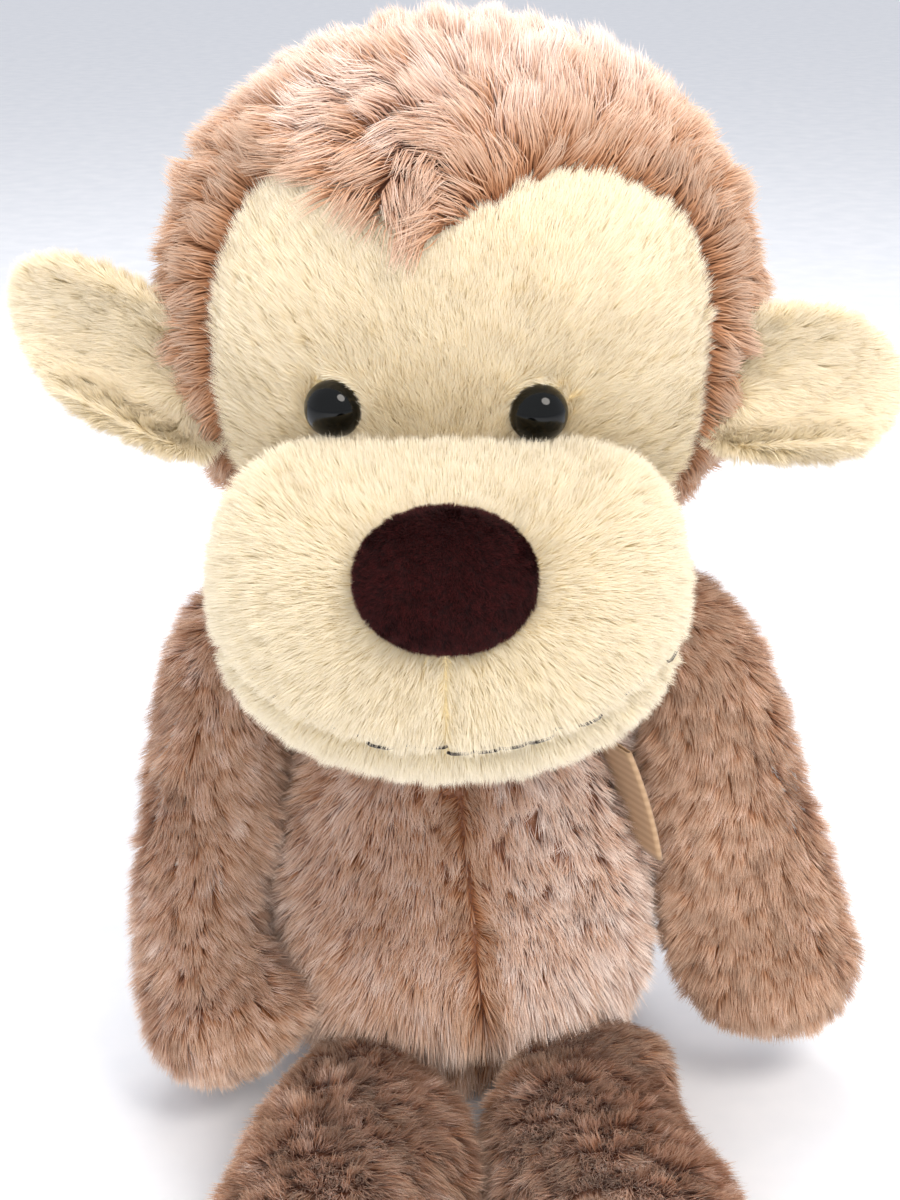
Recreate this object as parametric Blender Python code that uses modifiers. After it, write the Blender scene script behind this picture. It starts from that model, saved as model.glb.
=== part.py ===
"""Seated stuffed monkey, built as it is sewn: plush panels over stuffing, with limbs in round seats.

Metres, +Z up. The toy faces -Y and sits with the middle of its seat panel at the origin.
Left and right are the toy's own, so its left side is +X.
"""
import math

import bmesh
import bpy
from mathutils import Quaternion, Vector

# Fabric and fit
LONG_PILE = 0.005          # brown plush, backing and pile together
HOOD_PILE = 0.007          # longer brown plush on the head
SHORT_PILE = 0.003         # beige plush on face, muzzle and ears
FIT = 0.0003               # gap that neighbours keep
SEAM = 0.0006              # gap between two panels along a seam
FILL_GAP = 0.0010          # slack between the backing and the stuffing inside it

# Torso, measured on the fabric's backing
TORSO_HALF_WIDTH = 0.0340
TORSO_HALF_DEPTH = 0.0285
TORSO_HALF_HEIGHT = 0.053
TORSO_MID_Z = 0.043
TORSO_TAPER = 0.26         # how much narrower the top is than the bottom
TORSO_BLUNT = 0.84         # below 1 the form is fuller than an ellipsoid
SEAT_PANEL = 0.003
POUCH_TOP_Z = 0.020

# Neck
NECK_RADIUS = 0.015
NECK_Y = 0.004
NECK_Z = 0.1015
NECK_GAP = 0.0010          # room for the plug to turn in its faceted seats

# Head, measured on the backing
HEAD_HALF_WIDTH = 0.0505
HEAD_HALF_DEPTH = 0.0455
HEAD_HALF_HEIGHT = 0.0475
HEAD_Y = 0.003
HEAD_Z = 0.156
HEAD_BLUNT = 0.95

# Face panel: a heart-topped outline cut straight back into the head
FACE_X = -0.0040           # the face is sewn on a little to the toy's right
FACE_DIP_Z = 0.1785
FACE_LOBE_X = 0.0215
FACE_LOBE_Z = 0.1860
FACE_TEMPLE_X = 0.0370
FACE_TEMPLE_Z = 0.1770
FACE_SIDE_X = 0.0425
FACE_SIDE_Z = 0.1560
FACE_JAW_X = 0.0350
FACE_JAW_Z = 0.1140
FACE_BOTTOM_Z = 0.0980
FACE_BACK_Y = -0.0145
FACE_FRONT_Y = -0.120

# Muzzle, measured on the backing
MUZZLE_HALF_WIDTH = 0.0375
MUZZLE_HALF_DEPTH = 0.0335
MUZZLE_HALF_HEIGHT = 0.0245
MUZZLE_X = -0.0019
MUZZLE_Y = -0.0480
MUZZLE_Z = 0.1185
MUZZLE_BLUNT = 0.86
MUZZLE_CORNER = 0.5        # how much fuller the upper corners are than the rest
MOUTH_DROP = 0.0130        # how far the mouth seam lies below the muzzle's middle
THREAD_RADIUS = 0.0006
MOUTH_HALF_ANGLE = math.radians(74)

# Nose, a padded oval on the front of the muzzle
NOSE_HALF_WIDTH = 0.0136
NOSE_HALF_HEIGHT = 0.0108
NOSE_HALF_DEPTH = 0.0070
NOSE_X = -0.0022
NOSE_Y = -0.0815
NOSE_Z = 0.1345
NOSE_LEAN = math.radians(24)

# Eyes on shanks, with lock washers inside the head
EYE_X = 0.0168
EYE_Z = 0.1505
EYE_RADIUS = 0.0050
EYE_HEIGHT = 0.0046
SHANK_RADIUS = 0.0016
SHANK_LENGTH = 0.0100
BACKING = 0.0010
WASHER_RADIUS = 0.0062
WASHER_THICKNESS = 0.0014

# Ears, sewn in beside the face panel
EAR_LENGTH = 0.0375
EAR_HALF_HEIGHT = 0.0175
EAR_HALF_THICKNESS = 0.0045
EAR_UPPER_CURL = 0.0320    # radius that the upper half is curled to
EAR_LOWER_CURL = 0.0074    # radius that the lower half is curled to, so that it makes a cup
EAR_ROOT_SHARE = 0.70      # how tall the root is, as a share of the ear
EAR_UPPER_TAPER = 0.10     # how much narrower each half gets from the middle of the ear to its tip
EAR_LOWER_TAPER = 0.50
EAR_ROOM = 0.0076          # how much the pile gives way round the root
EAR_SEAT_OUT = 0.0040      # how far outside the hinge that hollow is widest
EAR_STAND = 0.0015         # how far outside the backing the ear turns
EAR_INSET = 0.0016         # how far the root reaches in through the backing
EAR_Y = -0.0110
EAR_Z = 0.1440
EAR_SLOPES = {"left": -0.10, "right": 0.36}   # how far the tip rises for its reach
EAR_SWEEP = math.radians(20)

# Arms: pivot, routes from the pivot and sizes on the backing. Both are cut alike; the right lies on its edge
SHOULDER_X = 0.0370
SHOULDER_Y = 0.0030
SHOULDER_DROP = 0.0020     # how far the pivot lies below the top of the torso
ARM_ROUTES = {
    "left": ((0.0180, -0.0040, -0.0035), (0.0240, -0.0090, -0.0500), (0.0275, -0.0180, -0.0680)),
    "right": ((-0.0190, -0.0030, -0.0035), (-0.0205, -0.0150, -0.0500), (-0.0130, -0.0290, -0.0720)),
}
ARM_END_RADIUS = 0.0095
ARM_BROAD = (0.0120, 0.0145)
ARM_THIN = (0.0100, 0.0105)

# Legs: pivot, routes from the pivot and sizes on the backing
HIP_X = 0.0190
HIP_Y = -0.0300
HIP_Z = 0.0135
LEG_ROUTES = {
    "left": ((0.0035, -0.0200, 0.0025), (0.0070, -0.0440, 0.0040), (0.0100, -0.0680, 0.0065)),
    "right": ((-0.0020, -0.0200, 0.0025), (-0.0030, -0.0440, 0.0040), (-0.0040, -0.0680, 0.0065)),
}
LEG_END_RADIUS = 0.0055
LEG_WIDTHS = (0.0195, 0.0175)
LEG_HEIGHTS = (0.0125, 0.0145)

# Gathered ends of arms and legs
TUCK_THICKNESS = 0.0012
TUCK_GAP = 0.0008          # room for the cup of cloth to turn
TUCK_HALF_ANGLE = math.radians(34)

# Tail
TAIL_ROOT_Z = 0.0160
TAIL_ROUTE = ((0.0, 0.0600, 0.0120), (-0.0120, 0.0800, 0.0105), (-0.0420, 0.0860, 0.0110))
TAIL_RADIUS = 0.0040
TAIL_PILE = 0.0035
TAIL_OPENING = 0.3         # share of the round end that is left open
TAIL_SINK = 0.0030         # how far the round end is let into the pile of the back
TAIL_GAP = 0.0006          # room for it to turn there

# Blank label of folded tape in the left side seam
LABEL_LENGTH = 0.0220
LABEL_REACH = 0.0080
LABEL_TAPE = 0.0006
LABEL_LOOP = 0.0006
LABEL_STAND = 0.0012       # clear of the pile that bulges beside it
LABEL_Z = 0.0640
LABEL_ANGLE = math.radians(-26)

# Facets round and along each form, and points on its curves
FINE = (20, 12)
MEDIUM = (16, 10)
EAR_FACETS = (20, 10)
LIMB = (12, 12)
LIMB_FILL = (10, 12)
TAIL_FACETS = (8, 12)
TUCK_FACETS = (12, 9)
ROUND_STEPS = 14
DOME_STEPS = 5
FOLD_STEPS = 6
OUTLINE_STEPS = 5
THREAD_POINTS = 13
SLOPE_STEP = 0.02          # how far apart a route's direction is measured
MERGE = 0.00001            # points nearer than this are one

PLUSH_BROWN = ("long_pile_plush_brown", (0.376, 0.188, 0.112), 0.95)
PLUSH_BEIGE = ("short_pile_plush_beige", (0.823, 0.665, 0.365), 0.95)
PLUSH_MAROON = ("short_pile_plush_maroon", (0.032, 0.006, 0.007), 0.9)
EYE_PLASTIC = ("black_plastic", (0.004, 0.004, 0.005), 0.08)
WASHER_PLASTIC = ("white_plastic", (0.75, 0.75, 0.73), 0.4)
FIBRE_FILL = ("polyester_fill", (0.80, 0.80, 0.78), 1.0)
BEAN_CLOTH = ("bean_pouch_cloth", (0.70, 0.69, 0.66), 0.9)
THREAD = ("dark_thread", (0.015, 0.010, 0.010), 0.7)
TAPE = ("woven_tape", (0.52, 0.36, 0.20), 0.8)

SIDES = (("left", 1.0), ("right", -1.0))
OUTER_OVERLAP = 0.02       # how far a cutter runs past what it cuts

# Derived places
TORSO_MIDDLE = (0.0, 0.0, TORSO_MID_Z)
TORSO_HALVES = (TORSO_HALF_WIDTH, TORSO_HALF_DEPTH, TORSO_HALF_HEIGHT)
HEAD_MIDDLE = (0.0, HEAD_Y, HEAD_Z)
HEAD_HALVES = (HEAD_HALF_WIDTH, HEAD_HALF_DEPTH, HEAD_HALF_HEIGHT)
MUZZLE_MIDDLE = (MUZZLE_X, MUZZLE_Y, MUZZLE_Z)
MUZZLE_HALVES = (MUZZLE_HALF_WIDTH, MUZZLE_HALF_DEPTH, MUZZLE_HALF_HEIGHT)
SEAT_FLOOR_Z = SEAT_PANEL + FIT
SEAT_LATITUDE = -((TORSO_MID_Z - SEAT_FLOOR_Z) / TORSO_HALF_HEIGHT) ** (1.0 / TORSO_BLUNT)
SEAT_RING = math.sqrt(1.0 - SEAT_LATITUDE ** 2)
SHOULDER_Z = TORSO_MID_Z + TORSO_HALF_HEIGHT - SHOULDER_DROP
SHOULDER_BALL = ARM_END_RADIUS + LONG_PILE
HIP_BALL = LEG_END_RADIUS + LONG_PILE
TUCK_SEAT = TUCK_THICKNESS + 2.0 * TUCK_GAP
NECK_PLACE = Vector((0.0, NECK_Y, NECK_Z))

for old in list(bpy.data.objects):
    bpy.data.objects.remove(old, do_unlink=True)
PARTS = bpy.data.collections.new("stuffed_monkey")
CUTTERS = bpy.data.collections.new("cutters")
for collection in (PARTS, CUTTERS):
    bpy.context.scene.collection.children.link(collection)


def material(kind):
    """The Principled material of one kind of cloth or plastic, made once."""
    name, colour, roughness = kind
    made = bpy.data.materials.get(name)
    if made is None:
        made = bpy.data.materials.new(name)
        made.use_nodes = True
        shader = made.node_tree.nodes["Principled BSDF"]
        shader.inputs["Base Color"].default_value = (*colour, 1.0)
        shader.inputs["Roughness"].default_value = roughness
        shader.inputs["Metallic"].default_value = 0.0
    return made


def pivot(name, place):
    """An empty on a joint's axis, which carries the pieces of one moving body."""
    empty = bpy.data.objects.new(name, None)
    empty.location = place
    empty.empty_display_size = 0.01
    PARTS.objects.link(empty)
    return empty


def add_piece(name, bm, kind, carrier=None):
    """Turns a mesh in world coordinates into an object, with its origin on its carrier."""
    if carrier is not None:
        bmesh.ops.translate(bm, verts=bm.verts[:], vec=-Vector(carrier.location))
    mesh = bpy.data.meshes.new(name)
    bm.to_mesh(mesh)
    bm.free()
    mesh.shade_smooth()
    piece = bpy.data.objects.new(name, mesh)
    piece.data.materials.append(material(kind))
    piece.parent = carrier
    PARTS.objects.link(piece)
    return piece


def add_cutter(name, bm):
    """A hidden solid that only shapes its neighbours."""
    mesh = bpy.data.meshes.new(name)
    bm.to_mesh(mesh)
    bm.free()
    cutter = bpy.data.objects.new(name, mesh)
    cutter.hide_render = True
    cutter.display_type = "WIRE"
    CUTTERS.objects.link(cutter)
    return cutter


def cut(piece, cutter, operation="DIFFERENCE"):
    """Cuts a piece with a cutter, or keeps only what lies inside it."""
    boolean = piece.modifiers.new("cut", "BOOLEAN")
    boolean.operation = operation
    boolean.object = cutter
    boolean.solver = "EXACT"


def thicken(piece, pile):
    """Gives a panel its pile, outwards from the backing."""
    solid = piece.modifiers.new("pile", "SOLIDIFY")
    solid.thickness = pile
    solid.offset = 1.0


def sphere(facets):
    """A unit sphere with its poles on Z, to be shaped into a soft form."""
    bm = bmesh.new()
    bmesh.ops.create_uvsphere(bm, u_segments=facets[0], v_segments=facets[1], radius=1.0)
    return bm


def keep(bm, point, direction, cap=False):
    """Keeps the side of a plane that direction points to, and closes the cut if asked."""
    everything = bm.verts[:] + bm.edges[:] + bm.faces[:]
    bmesh.ops.bisect_plane(bm, geom=everything, plane_co=point, plane_no=direction, clear_inner=True)
    if cap:
        open_edges = [edge for edge in bm.edges if edge.is_boundary]
        bmesh.ops.holes_fill(bm, edges=open_edges, sides=0)
    return bm


def shape(bm, form, swell=0.0):
    """Carries each point of a unit sphere to its place on a form, then swells it along its normals."""
    for vert in bm.verts:
        vert.co = form(vert.co.normalized())
    bm.normal_update()
    if swell:
        moves = [vert.normal * swell for vert in bm.verts]
        for vert, move in zip(bm.verts, moves):
            vert.co += move
    return bm


def blunt(value, power):
    """A signed power, which makes a round form fuller or leaner."""
    return math.copysign(abs(value) ** power, value)


def full_form(u, centre, halves, power, taper=0.0):
    """A full ellipsoid: its rings and heights are powers of the sphere's, and it tapers upwards."""
    ring = math.hypot(u.x, u.y)
    fuller = ring ** (power - 1.0) if ring > MERGE else 0.0
    width = fuller * (1.0 - taper * u.z)
    return Vector((
        centre[0] + halves[0] * u.x * width,
        centre[1] + halves[1] * u.y * width,
        centre[2] + halves[2] * blunt(u.z, power),
    ))


def full_normal(place, centre, halves, power):
    """The outward direction at a place on a full ellipsoid, from the slope of its formula."""
    x, y, z = ((place[i] - centre[i]) / halves[i] for i in range(3))
    ring = math.hypot(x, y)
    steep = 2.0 / power - 1.0
    flat = ring ** (steep - 1.0) if ring > MERGE else 0.0
    return Vector((flat * x / halves[0], flat * y / halves[1], blunt(z, steep) / halves[2])).normalized()


def torso_form(u):
    return full_form(u, TORSO_MIDDLE, TORSO_HALVES, TORSO_BLUNT, TORSO_TAPER)


def head_form(u):
    return full_form(u, HEAD_MIDDLE, HEAD_HALVES, HEAD_BLUNT)


def muzzle_form(u):
    """A full ellipsoid with its upper half drawn out sideways into soft corners."""
    place = full_form(u, MUZZLE_MIDDLE, MUZZLE_HALVES, MUZZLE_BLUNT)
    ring = math.hypot(u.x, u.y)
    if u.z > 0.0 and ring > MERGE:
        place.x = MUZZLE_X + (place.x - MUZZLE_X) * ring ** -MUZZLE_CORNER
    return place


def bezier(points, t):
    """The point at t on the smooth curve that the control points pull, or the value on a profile."""
    while len(points) > 1:
        points = [a + (b - a) * t for a, b in zip(points, points[1:])]
    return points[0]


def limb_form(route, end_radius, widths, depths, floor):
    """Returns the form of a stuffed limb: a round end on its pivot, a swelling tube and a round tip.

    The sphere's polar angle is shared out: the first third makes the round end, the second runs along
    the route and the last makes the tip. The sphere's longitude turns round the route. Nothing lies
    under floor.
    """
    stations = [Vector(place) for place in route]
    width_profile = [end_radius, *widths]
    depth_profile = [end_radius, *depths]
    third = math.pi / 3.0

    def form(u):
        polar = math.acos(max(-1.0, min(1.0, u.z)))
        t = max(0.0, min(1.0, (polar - third) / third))
        here = bezier(stations, t)
        ahead = bezier(stations, min(1.0, t + SLOPE_STEP))
        behind = bezier(stations, max(0.0, t - SLOPE_STEP))
        along = (ahead - behind).normalized()
        side = (Vector((1.0, 0.0, 0.0)) - along * along.x).normalized()
        other = side.cross(along)
        width = bezier(width_profile, t)
        depth = bezier(depth_profile, t)
        round_off = 1.0
        if polar < third:
            turn = polar / third * math.pi / 2.0
            round_off = math.sin(turn)
            here = here - along * end_radius * math.cos(turn)
        elif polar > 2.0 * third:
            turn = (math.pi - polar) / third * math.pi / 2.0
            round_off = math.sin(turn)
            here = here + along * (width + depth) / 2.0 * math.cos(turn)
        ring = math.hypot(u.x, u.y)
        if ring > MERGE:
            here = here + side * (width * round_off * u.x / ring) + other * (depth * round_off * u.y / ring)
        here.z = max(here.z, floor)
        return here

    return form


def ball(centre, radius, facets):
    """A ball round a pivot."""
    bm = sphere(facets)
    bmesh.ops.scale(bm, vec=(radius, radius, radius), verts=bm.verts[:])
    bmesh.ops.translate(bm, vec=centre, verts=bm.verts[:])
    return bm


def joined(meshes):
    """Several closed meshes in one, for a cutter with several separate bodies."""
    whole = bmesh.new()
    for bm in meshes:
        mesh = bpy.data.meshes.new("joined")
        bm.to_mesh(mesh)
        bm.free()
        whole.from_mesh(mesh)
        bpy.data.meshes.remove(mesh)
    return whole


def turned(name, profile, kind, carrier, place, axis, steps):
    """A round piece: a profile of radius and height turned round an axis at a place."""
    mesh = bpy.data.meshes.new(name)
    points = [(radius, 0.0, height) for radius, height in profile]
    mesh.from_pydata(points, [(i, i + 1) for i in range(len(points) - 1)], [])
    piece = bpy.data.objects.new(name, mesh)
    piece.data.materials.append(material(kind))
    screw = piece.modifiers.new("turn", "SCREW")
    screw.steps = screw.render_steps = steps
    screw.use_merge_vertices = True
    screw.merge_threshold = MERGE
    screw.use_smooth_shade = True
    piece.parent = carrier
    piece.rotation_mode = "QUATERNION"
    piece.rotation_quaternion = axis.to_track_quat("Z", "Y")
    piece.location = Vector(place) - Vector(carrier.location)
    PARTS.objects.link(piece)
    return piece


def as_cutter(piece, name):
    """A turned piece's evaluated mesh as a cutter, in world coordinates."""
    bpy.context.view_layer.update()
    evaluated = piece.evaluated_get(bpy.context.evaluated_depsgraph_get())
    mesh = bpy.data.meshes.new_from_object(evaluated)
    mesh.transform(piece.matrix_world)
    bm = bmesh.new()
    bm.from_mesh(mesh)
    bpy.data.meshes.remove(mesh)
    bpy.data.objects.remove(piece, do_unlink=True)
    bmesh.ops.remove_doubles(bm, verts=bm.verts[:], dist=MERGE)
    return add_cutter(name, bm)


def side_place(sign, x, y, z):
    """A place on one side of the toy."""
    return Vector((sign * x, y, z))


def tail_root():
    """The middle of the tail's round end, which is let into the pile of the back."""
    latitude = blunt((TAIL_ROOT_Z - TORSO_MID_Z) / TORSO_HALF_HEIGHT, 1.0 / TORSO_BLUNT)
    ring = math.sqrt(1.0 - latitude ** 2)
    back = torso_form(Vector((0.0, ring, latitude))).y + LONG_PILE
    return Vector((0.0, back + TAIL_RADIUS + TAIL_PILE - TAIL_SINK, TAIL_ROOT_Z))


def body_seats():
    """One cutter with the round seats of neck, shoulders, hips and tail in the torso."""
    seats = [ball(NECK_PLACE, NECK_RADIUS + NECK_GAP, LIMB)]
    for _, sign in SIDES:
        shoulder = side_place(sign, SHOULDER_X, SHOULDER_Y, SHOULDER_Z)
        hip = side_place(sign, HIP_X, HIP_Y, HIP_Z)
        seats.append(ball(shoulder, SHOULDER_BALL + TUCK_SEAT, MEDIUM))
        seats.append(ball(hip, HIP_BALL + TUCK_SEAT, MEDIUM))
    seats.append(ball(tail_root(), TAIL_RADIUS + TAIL_PILE + TAIL_GAP, MEDIUM))
    return add_cutter("body_seats", joined(seats))


def make_torso(root):
    """Two belly panels, a back panel and a flat seat round the stuffing and the bean pouch."""
    seats = body_seats()
    half_seam = SEAM / 2.0
    panels = {
        "torso_front_left": ((1.0, 0.0, 0.0), (0.0, -1.0, 0.0)),
        "torso_front_right": ((-1.0, 0.0, 0.0), (0.0, -1.0, 0.0)),
        "torso_back": ((0.0, 1.0, 0.0),),
    }
    for name, directions in panels.items():
        bm = sphere(FINE)
        for direction in directions:
            across = TORSO_HALF_WIDTH if direction[0] else TORSO_HALF_DEPTH
            keep(bm, Vector(direction) * (half_seam / across), direction)
        keep(bm, (0.0, 0.0, SEAT_LATITUDE), (0.0, 0.0, 1.0))
        panel = add_piece(name, shape(bm, torso_form), PLUSH_BROWN, root)
        thicken(panel, LONG_PILE)
        cut(panel, seats)

    rim = torso_form(Vector((SEAT_RING, 0.0, SEAT_LATITUDE))).x
    rim_depth = torso_form(Vector((0.0, SEAT_RING, SEAT_LATITUDE))).y
    bm = bmesh.new()
    bmesh.ops.create_cone(bm, cap_ends=True, segments=FINE[0], radius1=1.0, radius2=1.0, depth=SEAT_PANEL)
    bmesh.ops.scale(bm, vec=(rim - SEAM, rim_depth - SEAM, 1.0), verts=bm.verts[:])
    bmesh.ops.translate(bm, vec=(0.0, 0.0, SEAT_PANEL / 2.0), verts=bm.verts[:])
    seat = add_piece("seat_panel", bm, PLUSH_BROWN, root)
    cut(seat, seats)

    for name, kind, point_z, direction in (
        ("torso_stuffing", FIBRE_FILL, POUCH_TOP_Z + FIT, 1.0),
        ("bean_pouch", BEAN_CLOTH, POUCH_TOP_Z, -1.0),
    ):
        bm = shape(sphere(MEDIUM), torso_form, -FILL_GAP)
        keep(bm, (0.0, 0.0, SEAT_FLOOR_Z), (0.0, 0.0, 1.0), cap=True)
        keep(bm, (0.0, 0.0, point_z), (0.0, 0.0, direction), cap=True)
        cut(add_piece(name, bm, kind, root), seats)


def side_seam(height):
    """A place on the torso's pile beside the label, at one height, and the level direction out of it."""
    latitude = blunt((height - TORSO_MID_Z) / TORSO_HALF_HEIGHT, 1.0 / TORSO_BLUNT)
    ring = math.sqrt(1.0 - latitude ** 2)
    seam = torso_form(Vector((ring * math.cos(LABEL_ANGLE), ring * math.sin(LABEL_ANGLE), latitude)))
    out = full_normal(seam, TORSO_MIDDLE, TORSO_HALVES, TORSO_BLUNT)
    out = Vector((out.x, out.y, 0.0)).normalized()
    return seam + out * (LONG_PILE + LABEL_STAND), out


def make_label(root):
    """A strip of tape folded in half, with its two ends at the side seam and its fold outwards."""
    middle = LABEL_LOOP / 2.0 + LABEL_TAPE / 2.0
    folds = [math.pi * (turn / FOLD_STEPS - 0.5) for turn in range(FOLD_STEPS + 1)]
    outline = [(0.0, -middle)]
    outline += [(LABEL_REACH + middle * math.cos(angle), middle * math.sin(angle)) for angle in folds]
    outline += [(0.0, middle)]
    bm = bmesh.new()
    rows = []
    for height in (LABEL_Z - LABEL_LENGTH / 2.0, LABEL_Z + LABEL_LENGTH / 2.0):
        start, out = side_seam(height)
        across = Vector((-out.y, out.x, 0.0))
        rows.append([bm.verts.new(start + out * reach + across * aside) for reach, aside in outline])
    for i in range(len(outline) - 1):
        bm.faces.new((rows[0][i], rows[0][i + 1], rows[1][i + 1], rows[1][i]))
    label = add_piece("seam_label", bm, TAPE, root)
    solid = label.modifiers.new("tape", "SOLIDIFY")
    solid.thickness = LABEL_TAPE
    solid.offset = 0.0


def face_cutter(name, grow):
    """The heart-topped face outline as a deep prism, grown all round by a seam's width."""
    lobes = [(FACE_X + sign * FACE_LOBE_X, FACE_LOBE_Z) for sign in (1.0, -1.0)]
    side = (
        (FACE_TEMPLE_X, FACE_TEMPLE_Z), (FACE_SIDE_X, FACE_SIDE_Z), (FACE_JAW_X, FACE_JAW_Z),
    )
    other_side = [(-x, z) for x, z in side[::-1]]
    outline = [(FACE_X, FACE_DIP_Z), lobes[0], *side, (0.0, FACE_BOTTOM_Z), *other_side, lobes[1]]
    curve = bpy.data.curves.new(name, "CURVE")
    curve.dimensions = "2D"
    curve.fill_mode = "BOTH"
    curve.resolution_u = OUTLINE_STEPS
    back = FACE_BACK_Y + grow
    curve.extrude = (back - FACE_FRONT_Y) / 2.0
    spline = curve.splines.new("BEZIER")
    spline.bezier_points.add(len(outline) - 1)
    spline.use_cyclic_u = True
    for point, (x, z) in zip(spline.bezier_points, outline):
        outward = Vector((x, z - HEAD_Z)).normalized() * grow
        point.co = (x + outward.x, z + outward.y, 0.0)
        point.handle_left_type = point.handle_right_type = "AUTO"
    guide = bpy.data.objects.new(name, curve)
    guide.rotation_euler = (math.pi / 2.0, 0.0, 0.0)
    guide.location = (0.0, (back + FACE_FRONT_Y) / 2.0, 0.0)
    CUTTERS.objects.link(guide)
    return as_cutter(guide, name + "_solid")


def make_head(head):
    """Two hood panels round a face panel that is let into them, with muzzle, nose and eyes in front."""
    seats = ear_seats()
    hood_opening = face_cutter("hood_opening", SEAM)
    face_outline = face_cutter("face_outline", 0.0)
    neck_seat = add_cutter("neck_seat", ball(NECK_PLACE, NECK_RADIUS + NECK_GAP, LIMB))
    muzzle_opening = add_cutter("muzzle_opening", shape(sphere(MEDIUM), muzzle_form))
    face_top = add_cutter("face_top", shape(sphere(FINE), head_form, SHORT_PILE + FIT))
    head_backing = add_cutter("head_backing", shape(sphere(FINE), head_form))
    muzzle_top = add_cutter("muzzle_top", shape(sphere(FINE), muzzle_form, SHORT_PILE + FIT))

    for side, sign in SIDES:
        bm = keep(sphere(FINE), (sign * SEAM / 2.0 / HEAD_HALF_WIDTH, 0.0, 0.0), (sign, 0.0, 0.0))
        hood = add_piece(f"hood_{side}", shape(bm, head_form), PLUSH_BROWN, head)
        thicken(hood, HOOD_PILE)
        cut(hood, hood_opening)
        cut(hood, seats)
        cut(hood, muzzle_top)
        cut(hood, neck_seat)

    eye_wells = make_eyes(head)

    face_half = (FACE_BACK_Y + OUTER_OVERLAP - HEAD_Y) / HEAD_HALF_DEPTH
    bm = keep(sphere(FINE), (0.0, face_half, 0.0), (0.0, -1.0, 0.0))
    face = add_piece("face_panel", shape(bm, head_form), PLUSH_BEIGE, head)
    thicken(face, SHORT_PILE)
    cut(face, face_outline, "INTERSECT")
    cut(face, muzzle_opening)
    cut(face, seats)

    stuffing = add_piece("head_stuffing", shape(sphere(MEDIUM), head_form, -FILL_GAP), FIBRE_FILL, head)
    cut(stuffing, neck_seat)
    for face_well, fill_well in eye_wells:
        cut(face, face_well)
        cut(stuffing, fill_well)

    mouth = -(MOUTH_DROP / MUZZLE_HALF_HEIGHT) ** (1.0 / MUZZLE_BLUNT)
    groove = (THREAD_RADIUS + FIT) / MUZZLE_HALF_HEIGHT
    halves = (("muzzle_panel", mouth + groove, 1.0), ("chin_panel", mouth - groove, -1.0))
    for name, latitude, direction in halves:
        bm = keep(sphere(FINE), (0.0, 0.0, latitude), (0.0, 0.0, direction))
        panel = add_piece(name, shape(bm, muzzle_form), PLUSH_BEIGE, head)
        thicken(panel, SHORT_PILE)
        cut(panel, face_top)
    fill = add_piece("muzzle_stuffing", shape(sphere(MEDIUM), muzzle_form, -FILL_GAP), FIBRE_FILL, head)
    cut(fill, head_backing)
    make_mouth(head, mouth)

    bm = sphere(MEDIUM)
    lean = Quaternion((1.0, 0.0, 0.0), -NOSE_LEAN)
    bmesh.ops.scale(bm, vec=(NOSE_HALF_WIDTH, NOSE_HALF_DEPTH, NOSE_HALF_HEIGHT), verts=bm.verts[:])
    bmesh.ops.rotate(bm, cent=(0.0, 0.0, 0.0), matrix=lean.to_matrix(), verts=bm.verts[:])
    bmesh.ops.translate(bm, vec=(NOSE_X, NOSE_Y, NOSE_Z), verts=bm.verts[:])
    cut(add_piece("nose_pad", bm, PLUSH_MAROON, head), muzzle_top)


def eye_axis(sign):
    """Where an eye's shank meets the backing, and the direction that the eye looks in."""
    x = (FACE_X + sign * EYE_X) / HEAD_HALF_WIDTH
    latitude = blunt((EYE_Z - HEAD_Z) / HEAD_HALF_HEIGHT, 1.0 / HEAD_BLUNT)
    ring = math.sqrt(1.0 - latitude ** 2)
    x_ring = x / ring ** (HEAD_BLUNT - 1.0)
    place = head_form(Vector((x_ring, -math.sqrt(ring ** 2 - x_ring ** 2), latitude)))
    out = full_normal(place, HEAD_MIDDLE, HEAD_HALVES, HEAD_BLUNT)
    return place, out


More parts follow.
